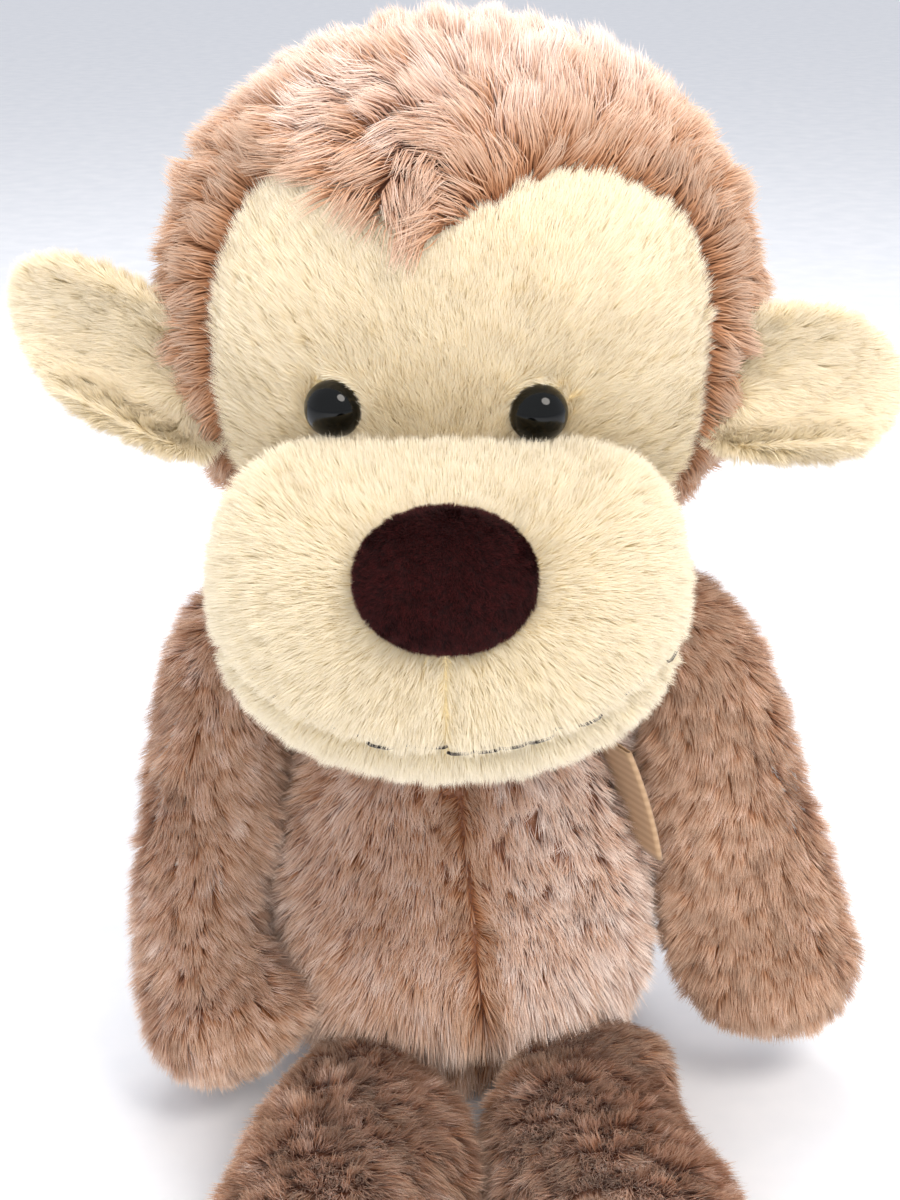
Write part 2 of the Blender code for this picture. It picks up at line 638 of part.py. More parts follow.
def make_eyes(head):
    """Domes on shanks, washers behind the backing, and the wells that both sit in. Returns the wells."""
    wells = []
    for side, sign in SIDES:
        place, out = eye_axis(sign)
        rim = BACKING + FIT
        dome = [(0.0, rim + EYE_HEIGHT)]
        for turn in range(1, DOME_STEPS + 1):
            angle = math.pi / 2.0 * turn / DOME_STEPS
            dome.append((EYE_RADIUS * math.sin(angle), rim + EYE_HEIGHT * math.cos(angle)))
        profile = [*dome, (SHANK_RADIUS, rim), (SHANK_RADIUS, -SHANK_LENGTH), (0.0, -SHANK_LENGTH)]
        turned(f"{side}_eye", profile, EYE_PLASTIC, head, place, out, ROUND_STEPS)

        top = -FILL_GAP - FIT - WASHER_RADIUS ** 2 / 2.0 / HEAD_HALF_DEPTH
        bore = SHANK_RADIUS + FIT
        ring = [
            (bore, top), (WASHER_RADIUS, top), (WASHER_RADIUS, top - WASHER_THICKNESS),
            (bore, top - WASHER_THICKNESS), (bore, top),
        ]
        turned(f"{side}_eye_washer", ring, WASHER_PLASTIC, head, place, out, ROUND_STEPS)

        pocket = WASHER_RADIUS + FIT
        floor = -SHANK_LENGTH - FIT
        washer_floor = top - WASHER_THICKNESS - FIT
        mouth = EYE_RADIUS + FIT
        shank_bore = [(bore, floor), (0.0, floor)]
        face_profile = [
            (0.0, OUTER_OVERLAP), (mouth, OUTER_OVERLAP), (mouth, BACKING), (bore, BACKING), *shank_bore,
        ]
        fill_profile = [
            (0.0, BACKING), (pocket, BACKING), (pocket, washer_floor), (bore, washer_floor), *shank_bore,
        ]
        face_well = turned(f"{side}_face_well", face_profile, EYE_PLASTIC, head, place, out, ROUND_STEPS)
        fill_well = turned(f"{side}_fill_well", fill_profile, EYE_PLASTIC, head, place, out, ROUND_STEPS)
        wells.append((as_cutter(face_well, f"{side}_face_cut"), as_cutter(fill_well, f"{side}_fill_cut")))
    return wells


def make_mouth(head, latitude):
    """A dark thread that lies in the seam between muzzle and chin."""
    ring = math.sqrt(1.0 - latitude ** 2)
    curve = bpy.data.curves.new("mouth_thread", "CURVE")
    curve.dimensions = "3D"
    curve.bevel_depth = THREAD_RADIUS
    curve.bevel_resolution = 1
    curve.use_fill_caps = True
    spline = curve.splines.new("POLY")
    spline.points.add(THREAD_POINTS - 1)
    for i, point in enumerate(spline.points):
        angle = MOUTH_HALF_ANGLE * (2.0 * i / (THREAD_POINTS - 1) - 1.0)
        place = muzzle_form(Vector((ring * math.sin(angle), -ring * math.cos(angle), latitude)))
        out = full_normal(place, MUZZLE_MIDDLE, MUZZLE_HALVES, MUZZLE_BLUNT)
        place = place + out * (SHORT_PILE / 2.0) - head.location
        point.co = (*place, 1.0)
    thread = bpy.data.objects.new("mouth_thread", curve)
    thread.data.materials.append(material(THREAD))
    thread.parent = head
    PARTS.objects.link(thread)


def ear_hinge(sign):
    """The middle of an ear's root, where it turns just outside the head's backing."""
    latitude = blunt((EAR_Z - HEAD_Z) / HEAD_HALF_HEIGHT, 1.0 / HEAD_BLUNT)
    ring = math.sqrt(1.0 - latitude ** 2) ** HEAD_BLUNT
    depth = (EAR_Y - HEAD_Y) / HEAD_HALF_DEPTH
    backing_x = HEAD_HALF_WIDTH * math.sqrt(ring ** 2 - depth ** 2)
    return Vector((sign * (backing_x + EAR_STAND), EAR_Y, EAR_Z))


def ear_seats():
    """One cutter with the hollows that the pile leaves round both ear roots."""
    seats = []
    thick = EAR_HALF_THICKNESS + EAR_ROOM
    halves = (thick, thick, EAR_HALF_HEIGHT * EAR_ROOT_SHARE + EAR_ROOM)
    for _, sign in SIDES:
        bm = sphere(MEDIUM)
        bmesh.ops.scale(bm, vec=halves, verts=bm.verts[:])
        middle = ear_hinge(sign) + Vector((sign * EAR_SEAT_OUT, 0.0, 0.0))
        bmesh.ops.translate(bm, vec=middle, verts=bm.verts[:])
        seats.append(bm)
    return add_cutter("ear_seats", joined(seats))


def make_ears():
    """Two layers sewn back to back, cupped forwards, on a root that turns in the side of the hood."""
    root_depth = EAR_STAND + EAR_INSET
    half_length = (EAR_LENGTH + root_depth) / 2.0
    for side, sign in SIDES:
        root = ear_hinge(sign)
        ear = pivot(f"{side}_ear_hinge", root)
        out = Vector((sign * math.cos(EAR_SWEEP), math.sin(EAR_SWEEP), EAR_SLOPES[side]))
        front = Vector((sign * math.sin(EAR_SWEEP), -math.cos(EAR_SWEEP), 0.0))
        up = Vector((0.0, 0.0, 1.0))

        def ear_form(u, layer_side, out=out, front=front, up=up, root=root):
            """Half of a leaf, narrower at both ends and curled forwards into a cup, with one face on the seam."""
            along = half_length * (1.0 + u.x) - root_depth
            curl, taper = (EAR_UPPER_CURL, EAR_UPPER_TAPER) if u.y > 0.0 else (EAR_LOWER_CURL, EAR_LOWER_TAPER)
            narrow = 1.0 + min(0.0, u.x) * (1.0 - EAR_ROOT_SHARE) - max(0.0, u.x) * taper
            turn = EAR_HALF_HEIGHT * u.y * narrow / curl
            layer = layer_side * max(SEAM / 2.0, EAR_HALF_THICKNESS * layer_side * u.z)
            height = (curl - layer) * math.sin(turn)
            bowl = curl - (curl - layer) * math.cos(turn)
            return root + out * along + up * height + front * bowl

        for layer, layer_side in (("front", 1.0), ("back", -1.0)):
            bm = sphere(EAR_FACETS)
            for vert in bm.verts:
                vert.co = ear_form(vert.co, layer_side)
            if bm.calc_volume(signed=True) < 0.0:
                bmesh.ops.reverse_faces(bm, faces=bm.faces[:])
            add_piece(f"{side}_ear_{layer}", bm, PLUSH_BEIGE, ear)


def make_tuck(name, carrier, inward, ball_radius):
    """The gathered end of a limb: a cup of cloth between the limb's round end and its seat."""
    bm = keep(sphere(TUCK_FACETS), (0.0, 0.0, math.cos(TUCK_HALF_ANGLE)), (0.0, 0.0, 1.0))
    turn = inward.to_track_quat("Z", "Y")
    radius = ball_radius + TUCK_GAP
    for vert in bm.verts:
        vert.co = turn @ (vert.co.normalized() * radius) + Vector(carrier.location)
    thicken(add_piece(name, bm, PLUSH_BROWN, carrier), TUCK_THICKNESS)


def make_limb(side, limb, place, route, sizes, names):
    """Two plush halves round the stuffing of one limb, and the gathered end that it turns on."""
    end_radius, widths, depths = sizes
    carrier = pivot(f"{side}_{limb}_pivot", place)
    stations = [place, *[place + Vector(offset) for offset in route]]
    form = limb_form(stations, end_radius, widths, depths, LONG_PILE)
    half_seam = SEAM / 2.0 / end_radius
    for half, direction in zip(names, (1.0, -1.0)):
        bm = keep(sphere(LIMB), (0.0, direction * half_seam, 0.0), (0.0, direction, 0.0))
        thicken(add_piece(f"{side}_{limb}_{half}", shape(bm, form), PLUSH_BROWN, carrier), LONG_PILE)
    add_piece(f"{side}_{limb}_stuffing", shape(sphere(LIMB_FILL), form, -FILL_GAP), FIBRE_FILL, carrier)
    return carrier


def make_limbs():
    """Arms that hang at the sides and legs that lie out in front."""
    arm_sizes = {
        "left": (ARM_END_RADIUS, ARM_BROAD, ARM_THIN),
        "right": (ARM_END_RADIUS, ARM_THIN, ARM_BROAD),
    }
    leg_sizes = (LEG_END_RADIUS, LEG_WIDTHS, LEG_HEIGHTS)
    for side, sign in SIDES:
        shoulder = side_place(sign, SHOULDER_X, SHOULDER_Y, SHOULDER_Z)
        arm = make_limb(side, "arm", shoulder, ARM_ROUTES[side], arm_sizes[side], ("back", "front"))
        make_tuck(f"{side}_shoulder_tuck", arm, -Vector(ARM_ROUTES[side][0]), SHOULDER_BALL)
        hip = side_place(sign, HIP_X, HIP_Y, HIP_Z)
        leg = make_limb(side, "leg", hip, LEG_ROUTES[side], leg_sizes, ("lower", "upper"))
        make_tuck(f"{side}_hip_tuck", leg, -Vector(LEG_ROUTES[side][0]), HIP_BALL)


def make_tail():
    """A slim stuffed tube behind the body, open where it is sewn on."""
    root = tail_root()
    carrier = pivot("tail_pivot", root)
    slim = (TAIL_RADIUS, TAIL_RADIUS)
    form = limb_form([root, *TAIL_ROUTE], TAIL_RADIUS, slim, slim, TAIL_PILE)
    opening = math.cos(math.pi / 3.0 * TAIL_OPENING)
    bm = keep(sphere(TAIL_FACETS), (0.0, 0.0, opening), (0.0, 0.0, -1.0))
    thicken(add_piece("tail_cover", shape(bm, form), PLUSH_BROWN, carrier), TAIL_PILE)
    add_piece("tail_stuffing", shape(sphere(TAIL_FACETS), form, -FILL_GAP), FIBRE_FILL, carrier)


def main():
    root = pivot("seat_middle", (0.0, 0.0, 0.0))
    head = pivot("head_pivot", NECK_PLACE)
    make_torso(root)
    make_label(root)
    add_piece("neck_plug", ball(NECK_PLACE, NECK_RADIUS, LIMB), FIBRE_FILL, head)
    make_head(head)
    make_ears()
    make_limbs()
    make_tail()


main()
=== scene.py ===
# %% [markdown]
# # A seated plush monkey
# The toy is sewn from two kinds of plush: a long brown pile for hood, body and limbs, and a short beige
# pile for face, muzzle and ears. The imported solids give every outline. This lesson dresses them with
# stuffed skins and with pile. Blender's hair particles could make the pile, but they don't leave Blender
# with the model, so here each strand is a small blade of real mesh, which shows from every side.

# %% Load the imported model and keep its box
import itertools
import math

import bpy
import numpy as np
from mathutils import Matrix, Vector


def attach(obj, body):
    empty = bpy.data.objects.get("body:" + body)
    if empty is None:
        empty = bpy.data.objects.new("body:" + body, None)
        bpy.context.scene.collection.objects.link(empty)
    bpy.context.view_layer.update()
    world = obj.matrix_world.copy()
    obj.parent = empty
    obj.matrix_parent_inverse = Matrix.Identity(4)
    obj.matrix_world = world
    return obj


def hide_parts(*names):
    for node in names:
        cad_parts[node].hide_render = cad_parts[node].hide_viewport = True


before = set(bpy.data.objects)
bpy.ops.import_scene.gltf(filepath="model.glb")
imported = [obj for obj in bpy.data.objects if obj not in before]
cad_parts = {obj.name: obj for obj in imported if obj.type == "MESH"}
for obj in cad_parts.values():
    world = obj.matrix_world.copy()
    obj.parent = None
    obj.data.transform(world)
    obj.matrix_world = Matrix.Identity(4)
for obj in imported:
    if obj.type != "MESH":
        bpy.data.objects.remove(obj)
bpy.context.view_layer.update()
MM = 0.001
scene = bpy.context.scene

# %% [markdown]
# ## Camera
# The photograph looks down on the toy from in front at close range, so its head looms and its feet fall
# away. A camera with the same place, pitch and focal length gives the same foreshortening. The focal
# length is kept in pixels of the 900 by 1200 picture, and turned into millimetres on the sensor.

# %% Place the camera
PICTURE_WIDTH, PICTURE_HEIGHT = 900, 1200
FOCAL_PIXELS = 1831
TOY_CENTRE_PIXEL = 460
SENSOR_MM = 36.0
CAMERA_PLACE = (0.0, -336.6 * MM, 233.5 * MM)
CAMERA_PITCH = math.radians(21.8)
lens = bpy.data.cameras.new("photo_camera")
lens.sensor_fit = "VERTICAL"
lens.sensor_height = SENSOR_MM
lens.lens = FOCAL_PIXELS / PICTURE_HEIGHT * SENSOR_MM
lens.shift_x = (PICTURE_WIDTH / 2 - TOY_CENTRE_PIXEL) / PICTURE_HEIGHT
lens.clip_start = 0.01
camera = bpy.data.objects.new("photo_camera", lens)
camera.location = CAMERA_PLACE
camera.rotation_euler = (math.pi / 2 - CAMERA_PITCH, 0.0, 0.0)
scene.collection.objects.link(camera)
scene.camera = camera
print("lens", round(lens.lens, 1), "mm")

# %% [markdown]
# ## Helpers for materials
# Colours are written as sRGB hex values, as a paint programme shows them, and one function turns them into
# the linear values that shaders work with. One more adds a node with its settings and links. Most finishes
# here are a colour that drifts between two tones over a grain of a real size, so one function makes those.


# %% Colours and nodes
def linear(code):
    """An sRGB hex colour as linear red, green, blue and alpha."""
    parts = [int(code[i:i + 2], 16) / 255 for i in (1, 3, 5)]
    return [*(p / 12.92 if p <= 0.04045 else ((p + 0.055) / 1.055) ** 2.4 for p in parts), 1.0]


def add_node(tree, kind, values=None, links=None, stops=None, **settings):
    """A new node: settings are its properties, values and links feed its sockets, stops colour its ramp."""
    node = tree.nodes.new(kind)
    for name, value in settings.items():
        setattr(node, name, value)
    for socket, value in (values or {}).items():
        node.inputs[socket].default_value = value
    for socket, source in (links or {}).items():
        tree.links.new(source, node.inputs[socket])
    for i, (place, code) in enumerate(stops or ()):
        ramp = node.color_ramp.elements
        stop = ramp[i] if i < 2 else ramp.new(place)
        stop.position = place
        stop.color = linear(code)
    return node


def start_material(name, **sockets):
    """A material with its Principled shader, whose sockets take plain numbers or hex colours."""
    material = bpy.data.materials.new(name)
    material.use_nodes = True
    shader = material.node_tree.nodes["Principled BSDF"]
    for socket, value in sockets.items():
        label = socket.replace("_", " ")
        shader.inputs[label].default_value = linear(value) if isinstance(value, str) else value
    return material, material.node_tree, shader


def grained(name, dark, light, grain_mm, bump_mm=0.0, **sockets):
    """A finish whose colour drifts from dark to light over a grain, raised by bump_mm where it is light."""
    material, tree, shader = start_material(name, **sockets)
    place = add_node(tree, "ShaderNodeTexCoord")
    grain = add_node(tree, "ShaderNodeTexNoise", {"Scale": 1 / (grain_mm * MM), "Detail": 3.0},
                     {"Vector": place.outputs["Object"]})
    tint = add_node(tree, "ShaderNodeValToRGB", links={"Fac": grain.outputs["Fac"]},
                    stops=((0.35, dark), (0.7, light)))
    tree.links.new(tint.outputs["Color"], shader.inputs["Base Color"])
    if bump_mm:
        bump = add_node(tree, "ShaderNodeBump", {"Strength": 0.6, "Distance": bump_mm * MM},
                        {"Height": grain.outputs["Fac"]})
        tree.links.new(bump.outputs["Normal"], shader.inputs["Normal"])
    return material


# %% [markdown]
# ## Floor and light
# A pale floor carries the toy's soft shadow. Three soft round lamps stand about it: a key at the
# upper right, whose glint shows in the eyes, a broad one in front, and one above from behind. A
# nearly white world fills the shadows, as in a bright room. One strong lamp would be simpler, but
# its shadows would hide the pile.

# %% Build the stage
FLOOR_HALF = 8.0
floor_mesh = bpy.data.meshes.new("floor")
corners = [(x * FLOOR_HALF, y * FLOOR_HALF, 0.0) for x, y in ((-1, -1), (1, -1), (1, 1), (-1, 1))]
floor_mesh.from_pydata(corners, [], [(0, 1, 2, 3)])
floor = bpy.data.objects.new("floor", floor_mesh)
scene.collection.objects.link(floor)
# Matt studio paper: pale and even, it takes soft shadows and mirrors nothing.
paper = grained("pale_studio_paper", "#eceef3", "#f3f4f8", grain_mm=17, Roughness=0.9)
floor_mesh.materials.append(paper)

world = bpy.data.worlds.new("soft_room")
world.use_nodes = True
scene.world = world
sky = world.node_tree.nodes["Background"]
sky.inputs["Color"].default_value = linear("#f4f6fb")
sky.inputs["Strength"].default_value = 0.82
TOY_MIDDLE = Vector((0.0, -0.02, 0.10))


def add_lamp(name, place, size, power, colour, glint):
    """A round soft lamp at a place, turned towards the toy. Glint says whether gloss mirrors it."""
    data = bpy.data.lights.new(name, "AREA")
    data.shape = "DISK"
    data.size = size
    data.energy = power
    data.color = linear(colour)[:3]
    lamp = bpy.data.objects.new(name, data)
    lamp.location = place
    lamp.visible_glossy = glint
    way = TOY_MIDDLE - Vector(place)
    lamp.rotation_euler = way.to_track_quat("-Z", "Y").to_euler()
    scene.collection.objects.link(lamp)


add_lamp("key", (0.44, -0.50, 0.92), size=0.5, power=6.2, colour="#fff8ef", glint=True)
add_lamp("front", (-0.2, -1.0, 0.55), size=0.9, power=5.6, colour="#fffaf4", glint=False)
add_lamp("top", (-0.05, 0.35, 0.95), size=0.6, power=4.5, colour="#ffffff", glint=False)
scene.view_settings.view_transform = "Standard"
print("lamps", len(bpy.data.lights))

# %% [markdown]
# ## Sizes of the sewn forms
# These are the backings of the plush, in millimetres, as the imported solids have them. A stuffed form is a
# sphere that is made fuller by a power below one, so its sides run steeper and its ends flatter. A limb's
# swells are places where its fill bulges: a thumb, a thigh, and the inner sides that lean on the body.

# %% Sizes in millimetres
TORSO = dict(centre=(0, 0, 43), halves=(34, 28.5, 53), power=0.84, taper=0.26)
HEAD = dict(centre=(0, 3, 156), halves=(50.5, 45.5, 47.5), power=0.95)
MUZZLE = dict(centre=(-1.9, -48, 118.5), halves=(37.5, 33.5, 24.5), power=0.86)
MUZZLE_CORNER = 0.5
FACE_X = -4.0
SHOULDER, HIP = np.array([37, 3, 94.0]), np.array([19, -30, 13.5])
ARMS = {
    "left": dict(
        route=((18, -4, -3.5), (24, -9, -50), (27.5, -18, -68)), widths=(12, 14.5), depths=(10, 10.5),
        swells=(dict(place=(44, -4, 58), push=(-6, 0, 0), radius=26),
                dict(place=(45, -8, 30), push=(-4, 0, 0), radius=15))),
    "right": dict(
        route=((-19, -3, -3.5), (-20.5, -15, -50), (-13, -29, -72)), widths=(10, 10.5), depths=(12, 14.5),
        swells=(dict(place=(-40, -29, 26), push=(8.5, -3, 1), radius=8),
                dict(place=(-43, -7, 62), push=(6.5, 0, 0), radius=26))),
}
LEGS = {
    "left": dict(
        route=((3.5, -20, 2.5), (7, -44, 4), (10, -68, 6.5)), widths=(19.5, 17.5), depths=(12.5, 14.5),
        swells=(dict(place=(34, -32, 15), push=(10, 3, 2), radius=19),
                dict(place=(9, -60, 17), push=(-3, 0, 0), radius=24))),
    "right": dict(
        route=((-2, -20, 2.5), (-3, -44, 4), (-4, -68, 6.5)), widths=(19.5, 17.5), depths=(12.5, 14.5),
        swells=(dict(place=(-6, -68, 17), push=(6, 0, 0), radius=26),)),
}
ARM_END, LEG_END = 9.5, 5.5
SIDES = {"left": 1, "right": -1}
print("head", 2 * HEAD["halves"][0], "mm wide without its pile")

# %% [markdown]
# ## Surfaces from two parameters
# Every stuffed form here starts as a sphere with a polar angle and a turn. A function carries all its
# points to their places at once, so a shape is a formula and not a list of points. Sculpting by hand
# would give the same forms, but could not be worked out again from the sizes above.


# %% The grid and its faces
def unit(vectors):
    """Each row of an array at length one."""
    return vectors / np.maximum(np.linalg.norm(vectors, axis=-1, keepdims=True), 1e-12)


def sphere_grid(polar, columns):
    """Directions on a sphere: one pole, a ring of columns at each polar angle, and the other pole."""
    turn = 2 * np.pi * np.arange(columns) / columns
    out, up = np.sin(polar)[:, None], np.cos(polar)[:, None]
    ring = np.stack(np.broadcast_arrays(out * np.cos(turn), out * np.sin(turn), up), axis=-1)
    return np.vstack([[0, 0, 1], ring.reshape(-1, 3), [0, 0, -1]])


def halved(squares):
    """Two triangles for each square of four corners."""
    squares = squares.reshape(-1, 4)
    return np.vstack([squares[:, [0, 1, 2]], squares[:, [0, 2, 3]]])


def sphere_triangles(rings, columns):
    """The triangles of that grid: two for each square between rings, and a fan at each pole."""
    here = 1 + np.arange(rings * columns).reshape(rings, columns)
    after = np.roll(here, -1, axis=1)
    last = rings * columns + 1
    squares = np.stack([here[:-1], here[1:], after[1:], after[:-1]], axis=-1)
    top = np.stack([np.zeros(columns, int), here[0], after[0]], axis=-1)
    end = np.stack([np.full(columns, last), after[-1], here[-1]], axis=-1)
    return np.vstack([halved(squares), top, end])


def normals_of(points, triangles):
    """Unit normals at the points: each triangle's area vector is added to its three corners."""
    a, b, c = (points[triangles[:, k]] for k in range(3))
    face = np.repeat(np.cross(b - a, c - a), 3, axis=0)
    sums = [np.bincount(triangles.ravel(), face[:, k], len(points)) for k in range(3)]
    return unit(np.stack(sums, axis=1))


print("a ball of 3 rings and 4 columns has", len(sphere_triangles(3, 4)), "triangles")


# %% Full forms, and how deep a place lies in one
def full_form(u, centre, halves, power, taper=0.0):
    """A full ellipsoid: rings and heights are powers of the sphere's own, and the form tapers upwards."""
    ring = np.maximum(np.hypot(u[:, 0], u[:, 1]), 1e-9)
    width = ring ** (power - 1) * (1 - taper * u[:, 2])
    height = np.sign(u[:, 2]) * np.abs(u[:, 2]) ** power
    shape = np.stack([u[:, 0] * width, u[:, 1] * width, height], axis=1)
    return np.array(centre) + np.array(halves) * shape


def depth_in(points, centre, halves, power, taper=0.0):
    """How deep points lie in a full ellipsoid: below 1 inside, 1 on its surface."""
    p = (points - np.array(centre)) / np.array(halves)
    height = np.abs(p[:, 2]) ** (2 / power)
    narrow = 1 - taper * np.clip(p[:, 2], -1, 1)
    return (np.hypot(p[:, 0], p[:, 1]) / narrow) ** (2 / power) + height


def depth_in_muzzle(points):
    """How deep points lie in the muzzle, with its drawn out corners brought back first."""
    height = np.clip((points[:, 2] - MUZZLE["centre"][2]) / MUZZLE["halves"][2], 0, 0.999)
    ring = np.sqrt(1 - height ** (2 / MUZZLE["power"]))
    plain = points.copy()
    plain[:, 0] = MUZZLE["centre"][0] + (points[:, 0] - MUZZLE["centre"][0]) * ring ** MUZZLE_CORNER
    return depth_in(plain, **MUZZLE)


muzzle_depth = depth_in(np.array([MUZZLE["centre"]]), **HEAD)[0]
print("the muzzle's middle lies", muzzle_depth.round(2), "deep in the head, so outside it")


# %% Curves and smooth rises
def bezier(points, t):
    """Points on the smooth curve that the control points pull, or values on such a profile."""
    points = np.asarray(points, float)
    last = len(points) - 1
    weights = np.stack([math.comb(last, k) * t ** k * (1 - t) ** (last - k) for k in range(last + 1)])
    return np.tensordot(weights, points, axes=(0, 0))


def step(value, start, end):
    """A smooth rise from 0 at start to 1 at end."""
    t = np.clip((value - start) / (end - start), 0, 1)
    return t * t * (3 - 2 * t)


def hump(off, width):
    """A smooth hump: 1 where off is 0, falling to about a third at the width on either side."""
    return np.exp(-(off / width) ** 2)


print("a quarter of the way along, a step has risen by", step(0.25, 0, 1).round(2))


# %% Pieces of the scene
def add_piece(name, mesh, material, body):
    """An object at the origin for a mesh, with its finish, which rides on a body."""
    mesh.materials.append(material)
    mesh.shade_smooth()
    piece = bpy.data.objects.new(name, mesh)
    scene.collection.objects.link(piece)
    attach(piece, body)
    return piece


def add_surface(name, points, triangles, material, body, nodes):
    """A piece from points in millimetres and their triangles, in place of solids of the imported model."""
    mesh = bpy.data.meshes.new(name)
    mesh.from_pydata((points * MM).tolist(), [], triangles.tolist())
    piece = add_piece(name, mesh, material, body)
    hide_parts(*nodes)
    return piece


def add_skin(name, points, triangles, material, slot, body, nodes, fill):
    """A stuffed skin: a surface. Its fill, slack at 0 and tight at 1, is not used."""
    add_surface(name, points, triangles, material, body, nodes)


# %% [markdown]
# ## Stuffing pressure
# A stuffed skin is tight because the fill pushes it out between its seams. A modeller could sculpt that
# by hand. Here Blender's Cloth does it: the panels are cut a little larger than the form, air pressure
# swells them for twenty frames, and the seams are held. The fill lies just under the backing, so a
# point may hardly sink.

# %% Swell a skin between its seams
CUT_LARGER, CLOTH_PRESSURE, CLOTH_FRAMES = 0.06, 4.0, 20
CLOTH_MASS, CLOTH_TENSION, CLOTH_BEND = 0.0005, 2.0, 0.05
MOST_SUNK = 0.5


def stuff(points, triangles, seam, most_out):
    """A skin after Cloth: each point moves along its normal by what the pressure gave, within limits."""
    mesh = bpy.data.meshes.new("pattern")
    mesh.from_pydata((points * MM).tolist(), [], triangles.tolist())
    pattern = bpy.data.objects.new("pattern", mesh)
    scene.collection.objects.link(pattern)
    pattern.vertex_groups.new(name="seam").add(np.nonzero(seam)[0].tolist(), 1.0, "REPLACE")
    settings = pattern.modifiers.new("stuffing", "CLOTH").settings
    settings.mass = CLOTH_MASS
    settings.tension_stiffness = settings.compression_stiffness = CLOTH_TENSION
    settings.shear_stiffness = CLOTH_TENSION / 3
    settings.bending_stiffness = CLOTH_BEND
    settings.shrink_min = -CUT_LARGER
    settings.use_pressure = True
    settings.uniform_pressure_force = CLOTH_PRESSURE
    settings.effector_weights.gravity = 0.0
    settings.vertex_group_mass = "seam"
    for number in range(1, CLOTH_FRAMES + 1):
        scene.frame_set(number)
    moved = np.empty(points.size, np.float32)
    swollen = pattern.evaluated_get(bpy.context.evaluated_depsgraph_get())
    swollen.data.vertices.foreach_get("co", moved)
    scene.frame_set(1)
    bpy.data.objects.remove(pattern)
    bpy.data.meshes.remove(mesh)
    normals = normals_of(points, triangles)
    out = np.sum((moved.reshape(-1, 3) / MM - points) * normals, axis=1)
    print("swollen by", out.min().round(2), "to", out.max().round(2), "mm before the limits")
    return points + normals * np.clip(out, -MOST_SUNK, most_out)[:, None]


# %% [markdown]
# ## Plush cloth and its pile
# Plush is a knitted backing with fibres that stand out of it. The fibre is matt. Its ramp paints shade at
# the root, where little light reaches, and a pale highlight at the tip, where it splits and scatters light.
# Each strand carries a map: along it runs from root to tip, and across it each strand has a shade of its
# own. One noise over the whole toy would be simpler, but would not follow the strands.


# %% Piles and backings
def plush_pile(name, stops, spread, fade, roughness, sheen, sheen_tint):
    """Pile: a ramp from root to tip, lighter or darker by spread and greyer by fade in light strands."""
    material, tree, shader = start_material(
        name, Roughness=roughness, Sheen_Weight=sheen, Sheen_Roughness=0.45, Sheen_Tint=sheen_tint,
        Specular_IOR_Level=0.25)
    place = add_node(tree, "ShaderNodeUVMap", uv_map="OFBake")
    parts = add_node(tree, "ShaderNodeSeparateXYZ", links={"Vector": place.outputs["UV"]})
    # The ramp paints shade at each strand's root and a pale highlight at its tip.
    along = add_node(tree, "ShaderNodeValToRGB", links={"Fac": parts.outputs["Y"]}, stops=stops)
    value = add_node(tree, "ShaderNodeMath", {1: 2 * spread, 2: 1 - spread}, {0: parts.outputs["X"]},
                     operation="MULTIPLY_ADD")
    # Light strands are painted greyer, as a pale sheen.
    depth = add_node(tree, "ShaderNodeMath", {1: -2 * fade, 2: 1 + fade}, {0: parts.outputs["X"]},
                     operation="MULTIPLY_ADD", use_clamp=True)
    shade = add_node(tree, "ShaderNodeHueSaturation", links={
        "Saturation": depth.outputs[0], "Value": value.outputs[0], "Color": along.outputs["Color"]})
    tree.links.new(shade.outputs["Color"], shader.inputs["Base Color"])
    return material


# Knitted polyester brushed up into a long pile: matt brown, painted deep brown in shade between the tufts
# and pale at the tips as highlights.
BROWN_PILE = plush_pile(
    "polyester_plush_long_brown", ((0.0, "#93542f"), (0.4, "#c8926c"), (1.0, "#eed2bb")),
    spread=0.30, fade=0.6, roughness=0.85, sheen=0.3, sheen_tint="#fbeee6")
# The same cloth with a short, cut pile: an even creamy nap that holds hardly any shadow.
BEIGE_PILE = plush_pile(
    "polyester_plush_short_beige", ((0.0, "#f0deb6"), (0.4, "#f6e9ca"), (1.0, "#fcf2de")),
    spread=0.09, fade=0.05, roughness=0.85, sheen=0.2, sheen_tint="#fff4dc")
# Velour, sheared very short: a maroon so deep that only its rim catches a little light.
NOSE_PILE = plush_pile(
    "velour_maroon", ((0.0, "#120405"), (0.6, "#270808"), (1.0, "#4c1414")),
    spread=0.7, fade=0.0, roughness=0.8, sheen=0.04, sheen_tint="#8a4040")
# Knitted backings: dull, darker ground where a pile parts. Their loops are drawn about twice as wide as
# real ones, so that they show.
KNIT = dict(bump_mm=0.4, Roughness=0.95, Specular_IOR_Level=0.2)
BROWN_BACKING = grained("knitted_backing_brown", "#6e4634", "#946a54", grain_mm=1.2, **KNIT)
BEIGE_BACKING = grained("knitted_backing_beige", "#e2cd9c", "#f0e0b8", grain_mm=0.9, **KNIT)
NOSE_BACKING = grained("knitted_backing_maroon", "#1e080a", "#34100f", grain_mm=0.6, **KNIT)
print("materials", len(bpy.data.materials))

# %% [markdown]
# ## Strands in whole arrays
# A strand is a flat blade: two points at its root, two halfway where it bends, and one at its tip. Real
# fibres are some 0.03 mm thick, so a blade stands for a lock of them and is drawn wide enough to show.
# Pile gathers in tufts, because neighbours lean on each other: each strand belongs to the nearest of
# some scattered seeds, and its tip is drawn towards the middle of the tips of its tuft.


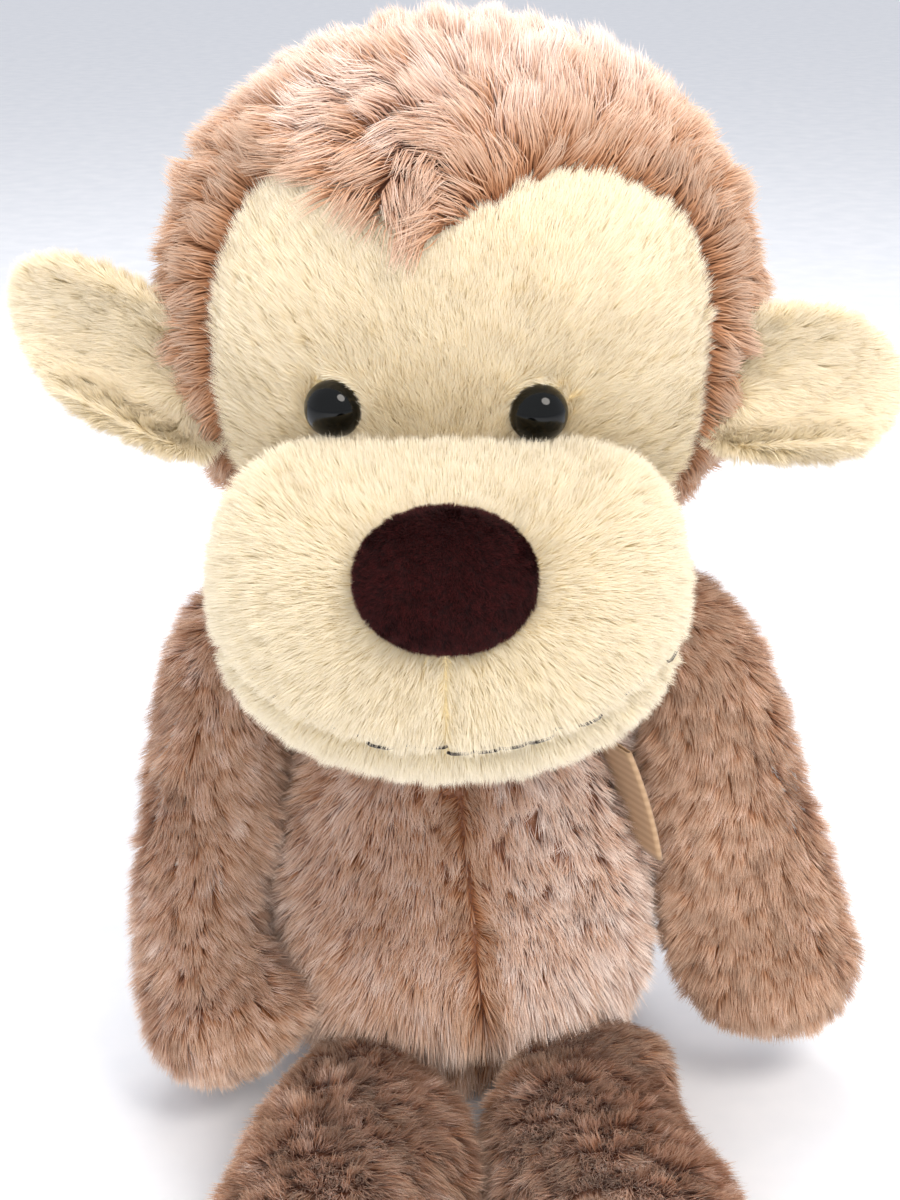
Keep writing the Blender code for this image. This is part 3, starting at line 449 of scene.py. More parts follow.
# %% Scatter roots
def scatter(points, triangles, flow, count, seed, keep=lambda root: np.full(len(root), True)):
    """Roots spread evenly by area over triangles where keep allows them, with normal and flow at each."""
    random = np.random.default_rng(seed)
    normals, flows = normals_of(points, triangles), np.zeros_like(points) + flow
    a, b, c = (points[triangles[:, k]] for k in range(3))
    area = np.linalg.norm(np.cross(b - a, c - a), axis=1)
    pick = triangles[random.choice(len(triangles), count, p=area / area.sum())]
    far, aside = np.sqrt(random.random(count)), random.random(count)
    weights = np.stack([1 - far, far * (1 - aside), far * aside], axis=1)
    root, normal, along = (
        np.einsum("nk,nkd->nd", weights, data[pick]) for data in (points, normals, flows))
    kept = keep(root)
    return root[kept], unit(normal[kept]), along[kept]


# %% Gather strands in tufts
# Large numbers that mix the place of a cell into one number, and that number into three shifts.
CELL_MIX, SHIFT_MIX = np.array([73856093, 19349663, 83492791]), (2654435, 1597334, 3812015)


def tufts(places, cell):
    """The number of each place's tuft: the nearest of seeds, one shifted in each cell of a grid."""
    base = np.floor(places / cell).astype(np.int64)
    best = np.full(len(places), np.inf)
    owner = np.zeros(len(places), np.int64)
    for offset in itertools.product((-1, 0, 1), repeat=3):
        cells = base + np.array(offset)
        mixed = np.bitwise_xor.reduce(cells * CELL_MIX, axis=1) & 0x7FFFFFFF
        jitter = np.stack([(mixed * factor >> 7) % 1024 / 1024 for factor in SHIFT_MIX], axis=1)
        gap = np.sum((places - (cells + jitter) * cell) ** 2, axis=1)
        nearer = gap < best
        best[nearer] = gap[nearer]
        owner[nearer] = mixed[nearer]
    return np.unique(owner, return_inverse=True)[1]


def tuft_mean(values, owner):
    """Each row's mean over its tuft."""
    size = np.bincount(owner)
    return np.stack([np.bincount(owner, values[:, k]) / size for k in range(3)], axis=1)[owner]


def swirl(places, wave_mm, seed):
    """Smooth noise, mostly from -1 to 1: sines along four slanted directions, multiplied in pairs."""
    random = np.random.default_rng(seed)
    ways = unit(random.normal(size=(4, 3)))
    waves = np.sin(places @ ways.T * (2 * np.pi / wave_mm) + random.random(4) * 6.3)
    return (waves[:, 0] * waves[:, 1] + waves[:, 2] * waves[:, 3]) / 1.4


# %% Grow strands
# The corners of a blade, face by face, the size of each face, and how far along the strand a corner lies.
BENT = dict(order=(0, 1, 3, 2, 2, 3, 4), sizes=(4, 3), along=(0.0, 0.0, 0.5, 0.5, 1.0))
STRAIGHT = dict(order=(0, 1, 2), sizes=(3,), along=(0.0, 0.0, 1.0))
FLECK_MM, GROUND_CLEAR, SHORTEST, MAP_HALF_WIDTH = 6.5, 0.4, 0.3, 0.008
MIDDLE_WIDTH, MIDDLE_PULL, ROLL = 0.8, 0.35, 0.6
DRIFT, DRIFT_WAVES = 0.07, 2.2
LEAN_SPREAD, LENGTH_SPREAD, SHADE_SPREAD, BEND_SPREAD = (8, 7), (0.10, 0.08), (0.10, 0.07), 8


def vary(random, spread, owner):
    """Random numbers in two parts: the first is each strand's own, the second is shared by its tuft."""
    own, shared = spread
    return random.normal(0, own, len(owner)) + random.normal(0, shared, owner.max() + 1)[owner]


def strand_mesh(name, points, shade, blade):
    """A mesh of strands, whose map holds each strand's shade across and runs from root to tip along it."""
    count, corners, order = *points.shape[:2], np.array(blade["order"])
    indices = corners * np.arange(count)[:, None] + order
    sizes = np.tile(blade["sizes"], count)
    starts = np.concatenate([[0], np.cumsum(sizes)[:-1]])
    spread = np.where(np.arange(corners) % 2 == 0, -MAP_HALF_WIDTH, MAP_HALF_WIDTH)
    spread[-1] = 0.0
    across = shade[:, None] + spread[order]
    along = np.broadcast_to(np.array(blade["along"])[order], across.shape)
    mesh = bpy.data.meshes.new(name)
    mesh.vertices.add(corners * count)
    mesh.vertices.foreach_set("co", (points * MM).astype(np.float32).ravel())
    mesh.loops.add(indices.size)
    mesh.loops.foreach_set("vertex_index", indices.astype(np.int32).ravel())
    mesh.polygons.add(len(starts))
    mesh.polygons.foreach_set("loop_start", starts.astype(np.int32))
    mesh.update(calc_edges=True)
    mesh.uv_layers.new(name="OFBake").uv.foreach_set(
        "vector", np.stack([across, along], axis=-1).astype(np.float32).ravel())
    return mesh


def grow(name, root, normal, flow, body, material, slot, length, width, lean, bend, tuft, pull,
         stray=13, wander=18, wave=24, tone=0.0, fleck=0.0, blade=STRAIGHT, seed=1):
    """Mesh strands at the roots, in millimetres and degrees.

    Each leans by lean from the normal towards the flow, and by bend more in its upper half. Its heading
    strays by itself and wanders with its tuft and with smooth noise, and its shade varies in flecks. A
    straight blade is one triangle, a bent one has a joint halfway.
    """
    random = np.random.default_rng(seed)
    count = len(root)
    owner = tufts(root, tuft)
    tangent = unit(flow - normal * np.sum(flow * normal, axis=1, keepdims=True))
    side = np.cross(normal, tangent)
    turn = vary(random, (stray, wander * 0.5), owner) + wander * swirl(root, wave, seed)
    turn = np.radians(turn)[:, None]
    heading = tangent * np.cos(turn) + side * np.sin(turn)
    tilt = np.radians(lean + vary(random, LEAN_SPREAD, owner))[:, None]
    more = tilt + np.radians(bend + random.normal(0, BEND_SPREAD, count))[:, None]
    size = np.maximum(length * (1 + vary(random, LENGTH_SPREAD, owner)), SHORTEST)[:, None]
    middle = root + (normal * np.cos(tilt) + heading * np.sin(tilt)) * size * 0.5
    tip = middle + (normal * np.cos(more) + heading * np.sin(more)) * size * 0.5
    middle += (tuft_mean(middle, owner) - middle) * pull * MIDDLE_PULL
    tip += (tuft_mean(tip, owner) - tip) * pull
    run = unit(tip - root)
    across = unit(np.cross(normal, run) + 1e-9)
    facing = np.cross(run, across)
    roll = random.uniform(-ROLL, ROLL, count)[:, None]
    half = (across * np.cos(roll) + facing * np.sin(roll)) * width * 0.5
    less = half * MIDDLE_WIDTH
    points = np.stack([root - half, root + half, middle - less, middle + less, tip], axis=1)
    if blade is STRAIGHT:
        points = points[:, [0, 1, 4]]
    points[..., 2] = np.maximum(points[..., 2], GROUND_CLEAR)
    shade = 0.5 + tone + vary(random, SHADE_SPREAD, owner)
    shade = shade + DRIFT * swirl(root, DRIFT_WAVES * wave, seed + 1)
    shade = shade + fleck * swirl(root, FLECK_MM, seed + 2)
    add_piece(name, strand_mesh(name, points, np.clip(shade, 0.01, 0.99), blade), material, body)
    print(name, count, "strands")


# %% [markdown]
# ## Torso
# The body is two belly panels, a back panel and a flat seat. The belly seam runs down the middle, a little
# slanted, and the pile parts along it and is shorter there, with shade painted into it, so it shows as a
# dark crease. The toy's left side of the belly is painted lighter, as if lit from there. The belly hangs
# over the legs and the shoulders rise to the arms, which a plain ellipsoid lacks, so smooth bumps push its
# points there.


# %% Torso skin
def spherical(form, rings, columns, **sizes):
    """A form on a sphere's grid of rings and columns: its points and triangles."""
    polar = np.pi * np.arange(1, rings + 1) / (rings + 1)
    return form(sphere_grid(polar, columns), **sizes), sphere_triangles(rings, columns)


def near_route(places, stations, radius):
    """Whether places lie within a radius of a limb's route."""
    path = bezier(stations, np.linspace(0, 1, 24))
    gap = np.min(np.linalg.norm(places[:, None, :] - path[None], axis=2), axis=1)
    return gap < radius


def route_of(limb, pivot, side):
    """A limb's control points: its pivot on one side of the toy, and the route from there."""
    start = pivot * np.array([SIDES[side], 1, 1])
    return np.vstack([start, start + np.array(limb["route"])])


SEAM_X, SEAM_Z, SEAM_SLANT = 6.5, 8, 0.108


def belly_seam(height):
    """Where the belly seam lies at each height: it drifts to the toy's left on its way down."""
    return SEAM_X - SEAM_SLANT * (height - SEAM_Z)


CREASE = 0.7
FLANK_LEFT, FLANK_RIGHT, BELLY_OUT, SHOULDER_OUT, SHOULDER_UP = 4.4, 3.2, 7.0, 10.0, 5.0
FLANK_Z, BELLY_Z, SEAT_Z, SEAM_HALF = 56, 32, 0.8, 2.6
SHOULDER_TOP = np.array([20, 3, 85])
torso, torso_faces = spherical(full_form, 26, 44, **TORSO)
front = step(-torso[:, 1], 0, 14)
torso[:, 1] += CREASE * hump(torso[:, 0] - belly_seam(torso[:, 2]), 3.5) * front
flank = step(np.abs(torso[:, 0]), 10, 26) * hump(torso[:, 2] - FLANK_Z, 28)
torso[:, 0] += np.sign(torso[:, 0]) * flank * np.where(torso[:, 0] > 0, FLANK_LEFT, FLANK_RIGHT)
torso[:, 1] -= BELLY_OUT * front * hump(torso[:, 2] - BELLY_Z, 17) * step(torso[:, 2], 15, 25)
from_shoulder = np.abs(torso) * (1, 0, 0) + torso * (0, 1, 1) - SHOULDER_TOP
shoulder = hump(np.linalg.norm(from_shoulder, axis=1), 14)
torso[:, 0] += SHOULDER_OUT * shoulder * np.sign(torso[:, 0])
torso[:, 2] += SHOULDER_UP * shoulder
torso[:, 2] = np.maximum(torso[:, 2], SEAT_Z)
by_belly = np.abs(torso[:, 0] - belly_seam(torso[:, 2])) < SEAM_HALF
torso_seams = (by_belly & (torso[:, 1] < 0)) | (np.abs(torso[:, 1]) < 1) | (torso[:, 2] < 1.5)
torso = stuff(torso, torso_faces, torso_seams, 1.4)
BROWN_CLOTH = dict(material=BROWN_BACKING, slot="long_pile_plush")
add_skin("torso_skin", torso, torso_faces, body="torso", fill=0.8, **BROWN_CLOTH,
         nodes=("torso_front_left", "torso_front_right", "torso_back", "seat_panel"))

# %% Torso pile
BROWN_FUR = dict(material=BROWN_PILE, slot="long_pile_plush")
BODY_PILE = dict(width=0.24, bend=24, wander=16, **BROWN_FUR)
DOWN = np.array([0, 0, -1.0])
TORSO_LENGTH, SEAM_SHORTER, OVERHANG_LONGER, COLLAR_LONGER = 5.4, 0.45, 4.0, 2.0
# The toy's left of the belly is painted lighter, as if lit from that side; the belly seam is painted in
# shade.
TORSO_TONE, LEFT_PAINTED_LIGHT, SEAM_PAINTED_SHADE = 0.14, 0.2, 0.6


def clear_of_limbs(root):
    """Whether roots on the torso lie outside the head, above the ground and beside the limbs' ends."""
    keep = (depth_in(root, **HEAD) > 0.8) & (root[:, 2] > 1.0)
    for side in SIDES:
        keep &= ~near_route(root, route_of(ARMS[side], SHOULDER, side), ARM_END - 1)
        keep &= ~near_route(root, route_of(LEGS[side], HIP, side)[:2], LEG_END + 2)
    return keep


root, normal, flow = scatter(torso, torso_faces, DOWN, count=170000, seed=11, keep=clear_of_limbs)
off = root[:, 0] - belly_seam(root[:, 2])
by_seam = hump(off, 3.8) * step(-root[:, 1], 0, 10) * (0.6 + 0.4 * swirl(root, 17, 14))
flow = flow + np.stack([np.sign(off) * by_seam * 1.6, 0 * off, 0 * off], axis=1)
over_legs = hump(root[:, 2] - 25, 7) * step(-root[:, 1], 14, 26)
grow("torso_fur", root, normal, flow, "torso", tuft=2.6, pull=0.17, lean=32, fleck=0.13, seed=12,
     length=(TORSO_LENGTH * (1 - SEAM_SHORTER * by_seam) + OVERHANG_LONGER * over_legs
             + COLLAR_LONGER * step(root[:, 2], 82, 92)),
     tone=TORSO_TONE + LEFT_PAINTED_LIGHT * step(root[:, 0], 0, 18) - SEAM_PAINTED_SHADE * by_seam, **BODY_PILE)

# %% [markdown]
# ## Neck
# Head and body are sewn together over a soft plug, and the pile of the seam hides it. Here the plug gets
# a short plush collar that turns with the neck, so no bare stuffing shows between hood and shoulders.

# %% Neck skin and pile
NECK = dict(centre=(0, 4, 100.5), halves=(19.5, 18.5, 13.5), power=0.9)
neck, neck_faces = spherical(full_form, 16, 32, **NECK)
add_skin("neck_skin", neck, neck_faces, body="neck", fill=0.7, nodes=("neck_plug",), **BROWN_CLOTH)
neck_roots = scatter(neck, neck_faces, DOWN, count=36000, seed=15, keep=lambda root: (
    (depth_in(root, **HEAD) > 0.9) & (depth_in(root, **TORSO) > 0.9)))
grow("neck_fur", *neck_roots, "neck", length=7.5, tuft=3.2, pull=0.3, lean=30, fleck=0.2, seed=16,
     **BODY_PILE)

# %% [markdown]
# ## Arms and legs
# A limb is a stuffed tube with a round end on its pivot and a round tip. A third of the sphere's polar
# angle makes each end, and the middle third runs along the route. A curve with a bevel could make the
# tube, but not its swells. The pile lies towards the hand or foot, and folds over the tip.


# %% The form of a limb
def limb_form(u, stations, end, widths, depths, floor):
    """A swelling tube along a route: its points, and the direction along the route at each."""
    polar = np.arccos(np.clip(u[:, 2], -1, 1))
    third = np.pi / 3
    t = np.clip((polar - third) / third, 0, 1)
    along = unit(bezier(stations, np.minimum(1, t + 0.02)) - bezier(stations, np.maximum(0, t - 0.02)))
    side = unit(np.array([1, 0, 0]) - along * along[:, :1])
    other = np.cross(side, along)
    width, depth = bezier([end, *widths], t), bezier([end, *depths], t)
    at_start, at_tip = polar < third, polar > 2 * third
    start_turn, tip_turn = polar / third * np.pi / 2, (np.pi - polar) / third * np.pi / 2
    rounded = np.where(at_start, np.sin(start_turn), np.where(at_tip, np.sin(tip_turn), 1.0))
    tip_cap = np.where(at_tip, (width + depth) / 2 * np.cos(tip_turn), 0.0)
    cap = np.where(at_start, -end * np.cos(start_turn), tip_cap)
    ring = np.maximum(np.hypot(u[:, 0], u[:, 1]), 1e-9)
    points = bezier(stations, t) + along * cap[:, None]
    points += side * (width * rounded * u[:, 0] / ring)[:, None]
    points += other * (depth * rounded * u[:, 1] / ring)[:, None]
    points[:, 2] = np.maximum(points[:, 2], floor)
    return points, along


LIMB_THIRDS = (np.linspace(0, 1, 9)[1:], np.linspace(1, 2, 21)[1:], np.linspace(2, 3, 11)[1:-1])
LIMB_RINGS = np.concatenate(LIMB_THIRDS) * np.pi / 3
LIMB_COLUMNS, LIMB_STRANDS, LIMB_FLOOR = 28, 100000, 3.0
limb_grid = sphere_grid(LIMB_RINGS, LIMB_COLUMNS)
limb_triangles = sphere_triangles(len(LIMB_RINGS), LIMB_COLUMNS)
limb_seams = np.abs(limb_grid[:, 1]) < 1e-6
print("limb grid", len(limb_grid), "points")


# %% Limb skins and pile
# Where a leg runs in under the belly, its pile is shorter and painted in the belly's shadow.
LEG_ROOT, ROOT_SHORTER, ROOT_PAINTED_SHADE = (14, 34), 0.4, 0.45


def dress_limb(side, name, limb, pivot, end, halves, seed, fold, **pile):
    """Skin and pile of one limb: the pile folds over the tip; a leg's is short and painted in shadow at its
    root.
    """
    stations = route_of(limb, pivot, side)
    points, along = limb_form(limb_grid, stations, end, limb["widths"], limb["depths"], LIMB_FLOOR)
    body = f"{side}_{name}"
    for swell in limb["swells"]:
        near = hump(np.linalg.norm(points - swell["place"], axis=1), swell["radius"])
        points += np.array(swell["push"]) * near[:, None]
        along = along + np.array(swell["push"]) / 8 * near[:, None]
    points = stuff(points, limb_triangles, limb_seams, 0.8)
    points[:, 2] = np.maximum(points[:, 2], LIMB_FLOOR)
    add_skin(f"{body}_skin", points, limb_triangles, body=body, fill=0.6,
             nodes=[f"{body}_{half}" for half in halves], **BROWN_CLOTH)
    root, normal, flow = scatter(points, limb_triangles, along, count=LIMB_STRANDS, seed=seed,
                                 keep=lambda root: depth_in(root, **TORSO) > 0.9)
    on_tip = step(np.sum(normal * unit(flow), axis=1), 0.55, 0.95)[:, None]
    flow = flow + np.array(fold) * on_tip
    by_root = (1 - step(np.linalg.norm(root - stations[0], axis=1), *LEG_ROOT)) * (name == "leg")
    pile["length"] = pile["length"] * (1 - ROOT_SHORTER * by_root)
    pile["tone"] = pile["tone"] - ROOT_PAINTED_SHADE * by_root
    grow(f"{body}_fur", root, normal, flow, body, seed=seed, **pile, **BODY_PILE)


# Painted shade: the toy's left arm is darker, as in the head's shadow, and both legs are darker all over.
for number, side in enumerate(SIDES):
    dress_limb(side, "arm", ARMS[side], SHOULDER, ARM_END, ("front", "back"), 21 + number, fold=(0, 0.9, 0),
               length=5.4, tone=-0.16 * (1 - number), tuft=3.0, pull=0.27, lean=32, fleck=0.2)
    dress_limb(side, "leg", LEGS[side], HIP, LEG_END, ("upper", "lower"), 31 + number, fold=(0, 0, -0.9),
               length=6.0, tone=-0.1, tuft=3.4, pull=0.3, lean=46, fleck=0.36)

# %% [markdown]
# ## Hood and face
# The face is a heart-topped panel let into the hood. It could be cut out with a boolean. Here its
# outline is a smooth closed curve through a few places, kept as a distance from a middle point for each
# direction, which makes it easy to ask whether a strand of the hood or of the face grows at a place.

# %% The face outline
FACE_MIDDLE = np.array([0.0, 150.0])
FACE_DIP, FACE_LOBE, FACE_BOTTOM = (FACE_X, 178.5), (21.5, 186), (0, 98)
FACE_SIDE = ((37, 177), (42.5, 156), (35, 114))
RIM_SHARE, FACE_BACK = 0.93, -8


def smooth_outline(places, steps=16):
    """A closed curve through places: on each span the tangents at its ends follow their neighbours."""
    p = np.array(places, float)
    before, after, beyond = np.roll(p, 1, 0), np.roll(p, -1, 0), np.roll(p, -2, 0)
    t = np.linspace(0, 1, steps, endpoint=False)[None, :, None]
    a, b = (after - before)[:, None] / 2, (beyond - p)[:, None] / 2
    p0, p1 = p[:, None], after[:, None]
    curve = p0 * (2 * t ** 3 - 3 * t ** 2 + 1) + a * (t ** 3 - 2 * t ** 2 + t)
    curve = curve + p1 * (3 * t ** 2 - 2 * t ** 3) + b * (t ** 3 - t ** 2)
    return curve.reshape(-1, 2)


lobes = [(FACE_X + sign * FACE_LOBE[0], FACE_LOBE[1]) for sign in SIDES.values()]
other_side = [(-x, z) for x, z in FACE_SIDE[::-1]]
outline = smooth_outline([FACE_DIP, lobes[0], *FACE_SIDE, FACE_BOTTOM, *other_side, lobes[1]])
outline = outline - FACE_MIDDLE
print("face outline", len(outline), "points")


# %% Where the face is on the head
def head_ring(height):
    """The head's half width at each height, as a share of its greatest."""
    share = np.clip(np.abs(height - HEAD["centre"][2]) / HEAD["halves"][2], 0, 1)
    return np.sqrt(1 - share ** (2 / HEAD["power"])) ** HEAD["power"]


rim_height = HEAD["centre"][2] + HEAD["halves"][2] * np.cos(np.linspace(0, np.pi, 90))
rim = np.stack([HEAD["halves"][0] * head_ring(rim_height), rim_height], axis=1)
rim = np.vstack([rim, rim * (-1, 1)]) - FACE_MIDDLE


def reach_of(curve, turn):
    """How far a closed curve of points lies from the middle in each direction, by linear interpolation."""
    x, z = curve.T
    return np.interp(turn, np.arctan2(z, x), np.hypot(x, z), period=2 * np.pi)


def face_reach(turn):
    """How far the face panel goes from its middle in each direction, never past the side of the head."""
    return np.minimum(reach_of(outline, turn), RIM_SHARE * reach_of(rim, turn))


def face_share(places):
    """How far out places lie on the face panel: 0 in its middle, 1 on its outline, 2 behind the face."""
    x, z = places[:, 0] - FACE_MIDDLE[0], places[:, 2] - FACE_MIDDLE[1]
    share = np.hypot(x, z) / face_reach(np.arctan2(z, x))
    return np.where(places[:, 1] < FACE_BACK, share, 2.0)


print("face reaches", face_reach(np.zeros(1))[0].round(1), "mm to the toy's left")

# %% [markdown]
# The hood's pile lies away from the face, up over the crown and down the back. Along the seam it is shorter,
# so its roots show, and painted in shade, and over the crown it is painted lighter, as if lit from above.
# Over the dip of the heart it is turned round to one side, so that it falls forwards in a fringe. The two
# halves of the hood meet in a seam over the crown, and each has a pile of its own.

# %% Hood skin
head, head_faces = spherical(full_form, 34, 52, **HEAD)
inside = 1 - step(face_share(head), 0.92, 1.02)
head[:, 1] += CREASE * inside
hood_seams = (face_share(head) < 1.05) | (np.abs(head[:, 0]) < 0.1)
head = stuff(head, head_faces, hood_seams, 0.8)
add_skin("hood_skin", head, head_faces, body="head", fill=0.8, nodes=("hood_left", "hood_right"),
         **BROWN_CLOTH)

# %% Hood pile
PEAK_X = FACE_X - 1.5
PARTING = np.array([12, -40, 150])
DIP_LEFT, DIP_RIGHT, DIP_TURN = 9, 19, 0.85 * np.pi
HOOD_LENGTH, EDGE_SHORTER, FRINGE_LONGER = 10.0, 2.0, 2.5
# The crown is painted lighter, as if lit from above, and the pile along the face seam is painted in shade.
CROWN_PAINTED_LIGHT, EDGE_PAINTED_SHADE = 0.32, 0.35
root, normal, _ = scatter(head, head_faces, DOWN, count=162000, seed=41, keep=lambda root: (
    (face_share(root) > 1.0) & (depth_in(root, **TORSO) > 0.9) & (depth_in_muzzle(root) > 1.1)))
from_peak = root[:, 0] - PEAK_X
out_share = face_share(root)
at_seam = 1 - step(out_share, 1.02, 1.18)
back = step(root[:, 1], 0, 32)[:, None]
aside = step(np.abs(root[:, 0]), 25, 45)[:, None]
flow = (unit(root - PARTING) + 0.4 * DOWN * aside) * (1 - back) + DOWN * back
flow = unit(flow - normal * np.sum(flow * normal, axis=1, keepdims=True))
in_dip = hump(from_peak, np.where(from_peak > 0, DIP_LEFT, DIP_RIGHT))
in_dip *= step(-root[:, 1], 8, 20) * (1 - step(root[:, 2], 186, 204))
around = (DIP_TURN * in_dip)[:, None]
flow = flow * np.cos(around) + np.cross(normal, flow) * np.sin(around)
edge = hump(out_share - 1.0, 0.12) * (1 - in_dip)
length = HOOD_LENGTH - EDGE_SHORTER * edge + FRINGE_LONGER * in_dip * at_seam
tone = CROWN_PAINTED_LIGHT * step(root[:, 2], 182, 200) - EDGE_PAINTED_SHADE * edge
for side, sign in SIDES.items():
    half = root[:, 0] * sign >= 0
    grow(f"hood_{side}_fur", root[half], normal[half], flow[half], "head", length=length[half], width=0.24,
         lean=38, bend=32, tuft=5.2, pull=0.48, tone=tone[half], wander=24, wave=30, blade=BENT, seed=42,
         **BROWN_FUR)

# %% [markdown]
# The face panel is a polar grid: a direction and a share of the way to the outline. The head's own surface
# gives its depth at each place, and the rim dips under the hood. The pile turns in a little round the eyes.

# %% Face skin
FACE_TURNS, FACE_SHARES = 72, 22
FACE_PROUD, FACE_TUCK = 0.4, 1.0


def face_surface(share, turn):
    """Places on the front of the head at a share of the way from the middle of the face to its outline."""
    reach = face_reach(turn) * share
    x, z = FACE_MIDDLE[0] + reach * np.cos(turn), FACE_MIDDLE[1] + reach * np.sin(turn)
    bulge = np.sqrt(np.maximum(head_ring(z) ** 2 - (x / HEAD["halves"][0]) ** 2, 0))
    return np.stack([x, HEAD["centre"][1] - HEAD["halves"][1] * bulge, z], axis=-1)


shares = np.linspace(0, 1.0, FACE_SHARES)[1:]
turns = 2 * np.pi * np.arange(FACE_TURNS) / FACE_TURNS
face = face_surface(*np.broadcast_arrays(shares[:, None], turns[None])).reshape(-1, 3)
face = np.vstack([face_surface(np.zeros(1), np.zeros(1)), face])
here = 1 + np.arange(len(shares) * FACE_TURNS).reshape(len(shares), FACE_TURNS)
after = np.roll(here, -1, axis=1)
squares = np.stack([here[:-1], after[:-1], after[1:], here[1:]], axis=-1)
fan = np.stack([np.zeros(FACE_TURNS, int), after[0], here[0]], axis=-1)
face_faces = np.vstack([halved(squares), fan])[:, ::-1]
face_out = normals_of(face, face_faces)
face = face + face_out * (FACE_PROUD - FACE_TUCK * step(face_share(face), 0.9, 1.0))[:, None]
BEIGE_CLOTH = dict(material=BEIGE_BACKING, slot="short_pile_plush")
add_skin("face_skin", face, face_faces, body="head", fill=0.8, nodes=("face_panel",), **BEIGE_CLOTH)
print("face skin", len(face_faces), "triangles")


# %% Face pile
def eye_axis(sign):
    """Where an eye's shank meets the backing, and the direction that the eye looks in."""
    x, z = FACE_X + sign * EYE_ASIDE, EYE_Z
    centre, halves = np.array(HEAD["centre"]), np.array(HEAD["halves"])
    y = centre[1] - halves[1] * math.sqrt(head_ring(np.array([z]))[0] ** 2 - (x / halves[0]) ** 2)
    place = np.array([x, y, z])
    slope = (place - centre) / halves ** 2
    return place, slope / np.linalg.norm(slope)


def clear_of_eyes(root):
    """Whether roots on the face lie outside the muzzle and beside the eyes."""
    gaps = [np.linalg.norm(root - place, axis=1) for place, _ in EYES.values()]
    return (depth_in_muzzle(root) > 1.0) & (np.min(gaps, axis=0) > EYE_CLEAR)


EYE_ASIDE, EYE_Z, EYE_RADIUS, EYE_HEIGHT, EYE_RIM, EYE_CLEAR = 16.8, 149.3, 5.0, 4.6, 1.3, 5.25
EYES = {side: eye_axis(sign) for side, sign in SIDES.items()}
BEIGE_FUR = dict(material=BEIGE_PILE, slot="short_pile_plush")
face_flow = np.stack([face[:, 0] * 0.018, 0 * face[:, 0], np.ones(len(face))], axis=1)
root, normal, flow = scatter(face, face_faces, face_flow, count=150000, seed=51, keep=clear_of_eyes)
by_eye = np.zeros(len(root))
for place, _ in EYES.values():
    inward = place - root
    near = hump(np.linalg.norm(inward, axis=1) - EYE_RADIUS, 1.2)
    flow = flow + unit(inward) * (1.2 * near)[:, None]
    by_eye += near
# The face's pile is painted lighter, as if a strong light fell on it.
grow("face_fur", root, normal, flow, "head", length=3.9 * (1 - 0.5 * by_eye), width=0.2, lean=45, bend=20,
     tuft=2.0, pull=0.18, wander=9, tone=0.46, seed=52, **BEIGE_FUR)

# %% [markdown]
# ## Muzzle
# The muzzle bulges out below the eyes, and the mouth is the seam between its upper and lower panel. A
# crease follows that seam, and a fainter line goes from the nose down to it. The pile spreads from the
# nose, parts along both and is painted in shade there, because a crease in the backing alone would be lost
# under it. The whole muzzle's pile is painted in light shade, and the chin's in more, as in the muzzle's
# shadow.

# %% Muzzle skin
MOUTH_DROP, MOUTH_RISE, MOUTH_REACH = 13.0, 8.0, 35.0
MOUTH_HEIGHT = MUZZLE["centre"][2] - MOUTH_DROP
NOSE_PLACE, NOSE_CLEAR = np.array([-2.2, -79.8, 134.0]), np.array([13.0, 12.0, 10.4])


def mouth_height(aside):
    """The mouth seam's height by how far a place is from the muzzle's middle: it rises at both ends."""
    return MOUTH_HEIGHT + MOUTH_RISE * np.minimum(np.abs(aside) / MOUTH_REACH, 1) ** 2


def muzzle_form(u, **sizes):
    """A full ellipsoid whose upper half is drawn out sideways into soft corners."""
    places = full_form(u, **sizes)
    ring = np.maximum(np.hypot(u[:, 0], u[:, 1]), 1e-6)
    fuller = np.where(u[:, 2] > 0, ring ** -MUZZLE_CORNER, 1.0)
    places[:, 0] = sizes["centre"][0] + (places[:, 0] - sizes["centre"][0]) * fuller
    return places


muzzle, muzzle_faces = spherical(muzzle_form, 40, 60, **MUZZLE)
off_mouth = muzzle[:, 2] - mouth_height(muzzle[:, 0] - MUZZLE["centre"][0])
mouth = hump(off_mouth, 1.6) * step(-muzzle[:, 1], 40, 56)
muzzle_middle = np.array([0, MUZZLE["centre"][1], MOUTH_HEIGHT])
muzzle += unit(muzzle_middle - muzzle) * (CREASE * mouth)[:, None]
muzzle_seams = (np.abs(off_mouth) < 1.0) | (depth_in(muzzle, **HEAD) < 1.0)
muzzle = stuff(muzzle, muzzle_faces, muzzle_seams, 0.8)
add_skin("muzzle_skin", muzzle, muzzle_faces, body="head", fill=0.9, nodes=("muzzle_panel", "chin_panel"),
         **BEIGE_CLOTH)


# %% Muzzle pile
MUZZLE_LENGTH, MOUTH_SHORTER, LINE_SHORTER = 3.8, 0.6, 0.25
# Painted shade: over the whole muzzle, more on the chin below the mouth, and along the mouth and the line.
MUZZLE_PAINTED_SHADE, CHIN_PAINTED_SHADOW, MOUTH_PAINTED_SHADE, LINE_PAINTED_SHADE = -0.35, 0.14, 0.3, 0.2


def clear_of_nose(root):
    """Whether roots on the muzzle lie outside the head and beside the nose."""
    gap = np.linalg.norm((root - NOSE_PLACE) / NOSE_CLEAR, axis=1)
    return (depth_in(root, **HEAD) > 0.98) & (gap > 1.0)


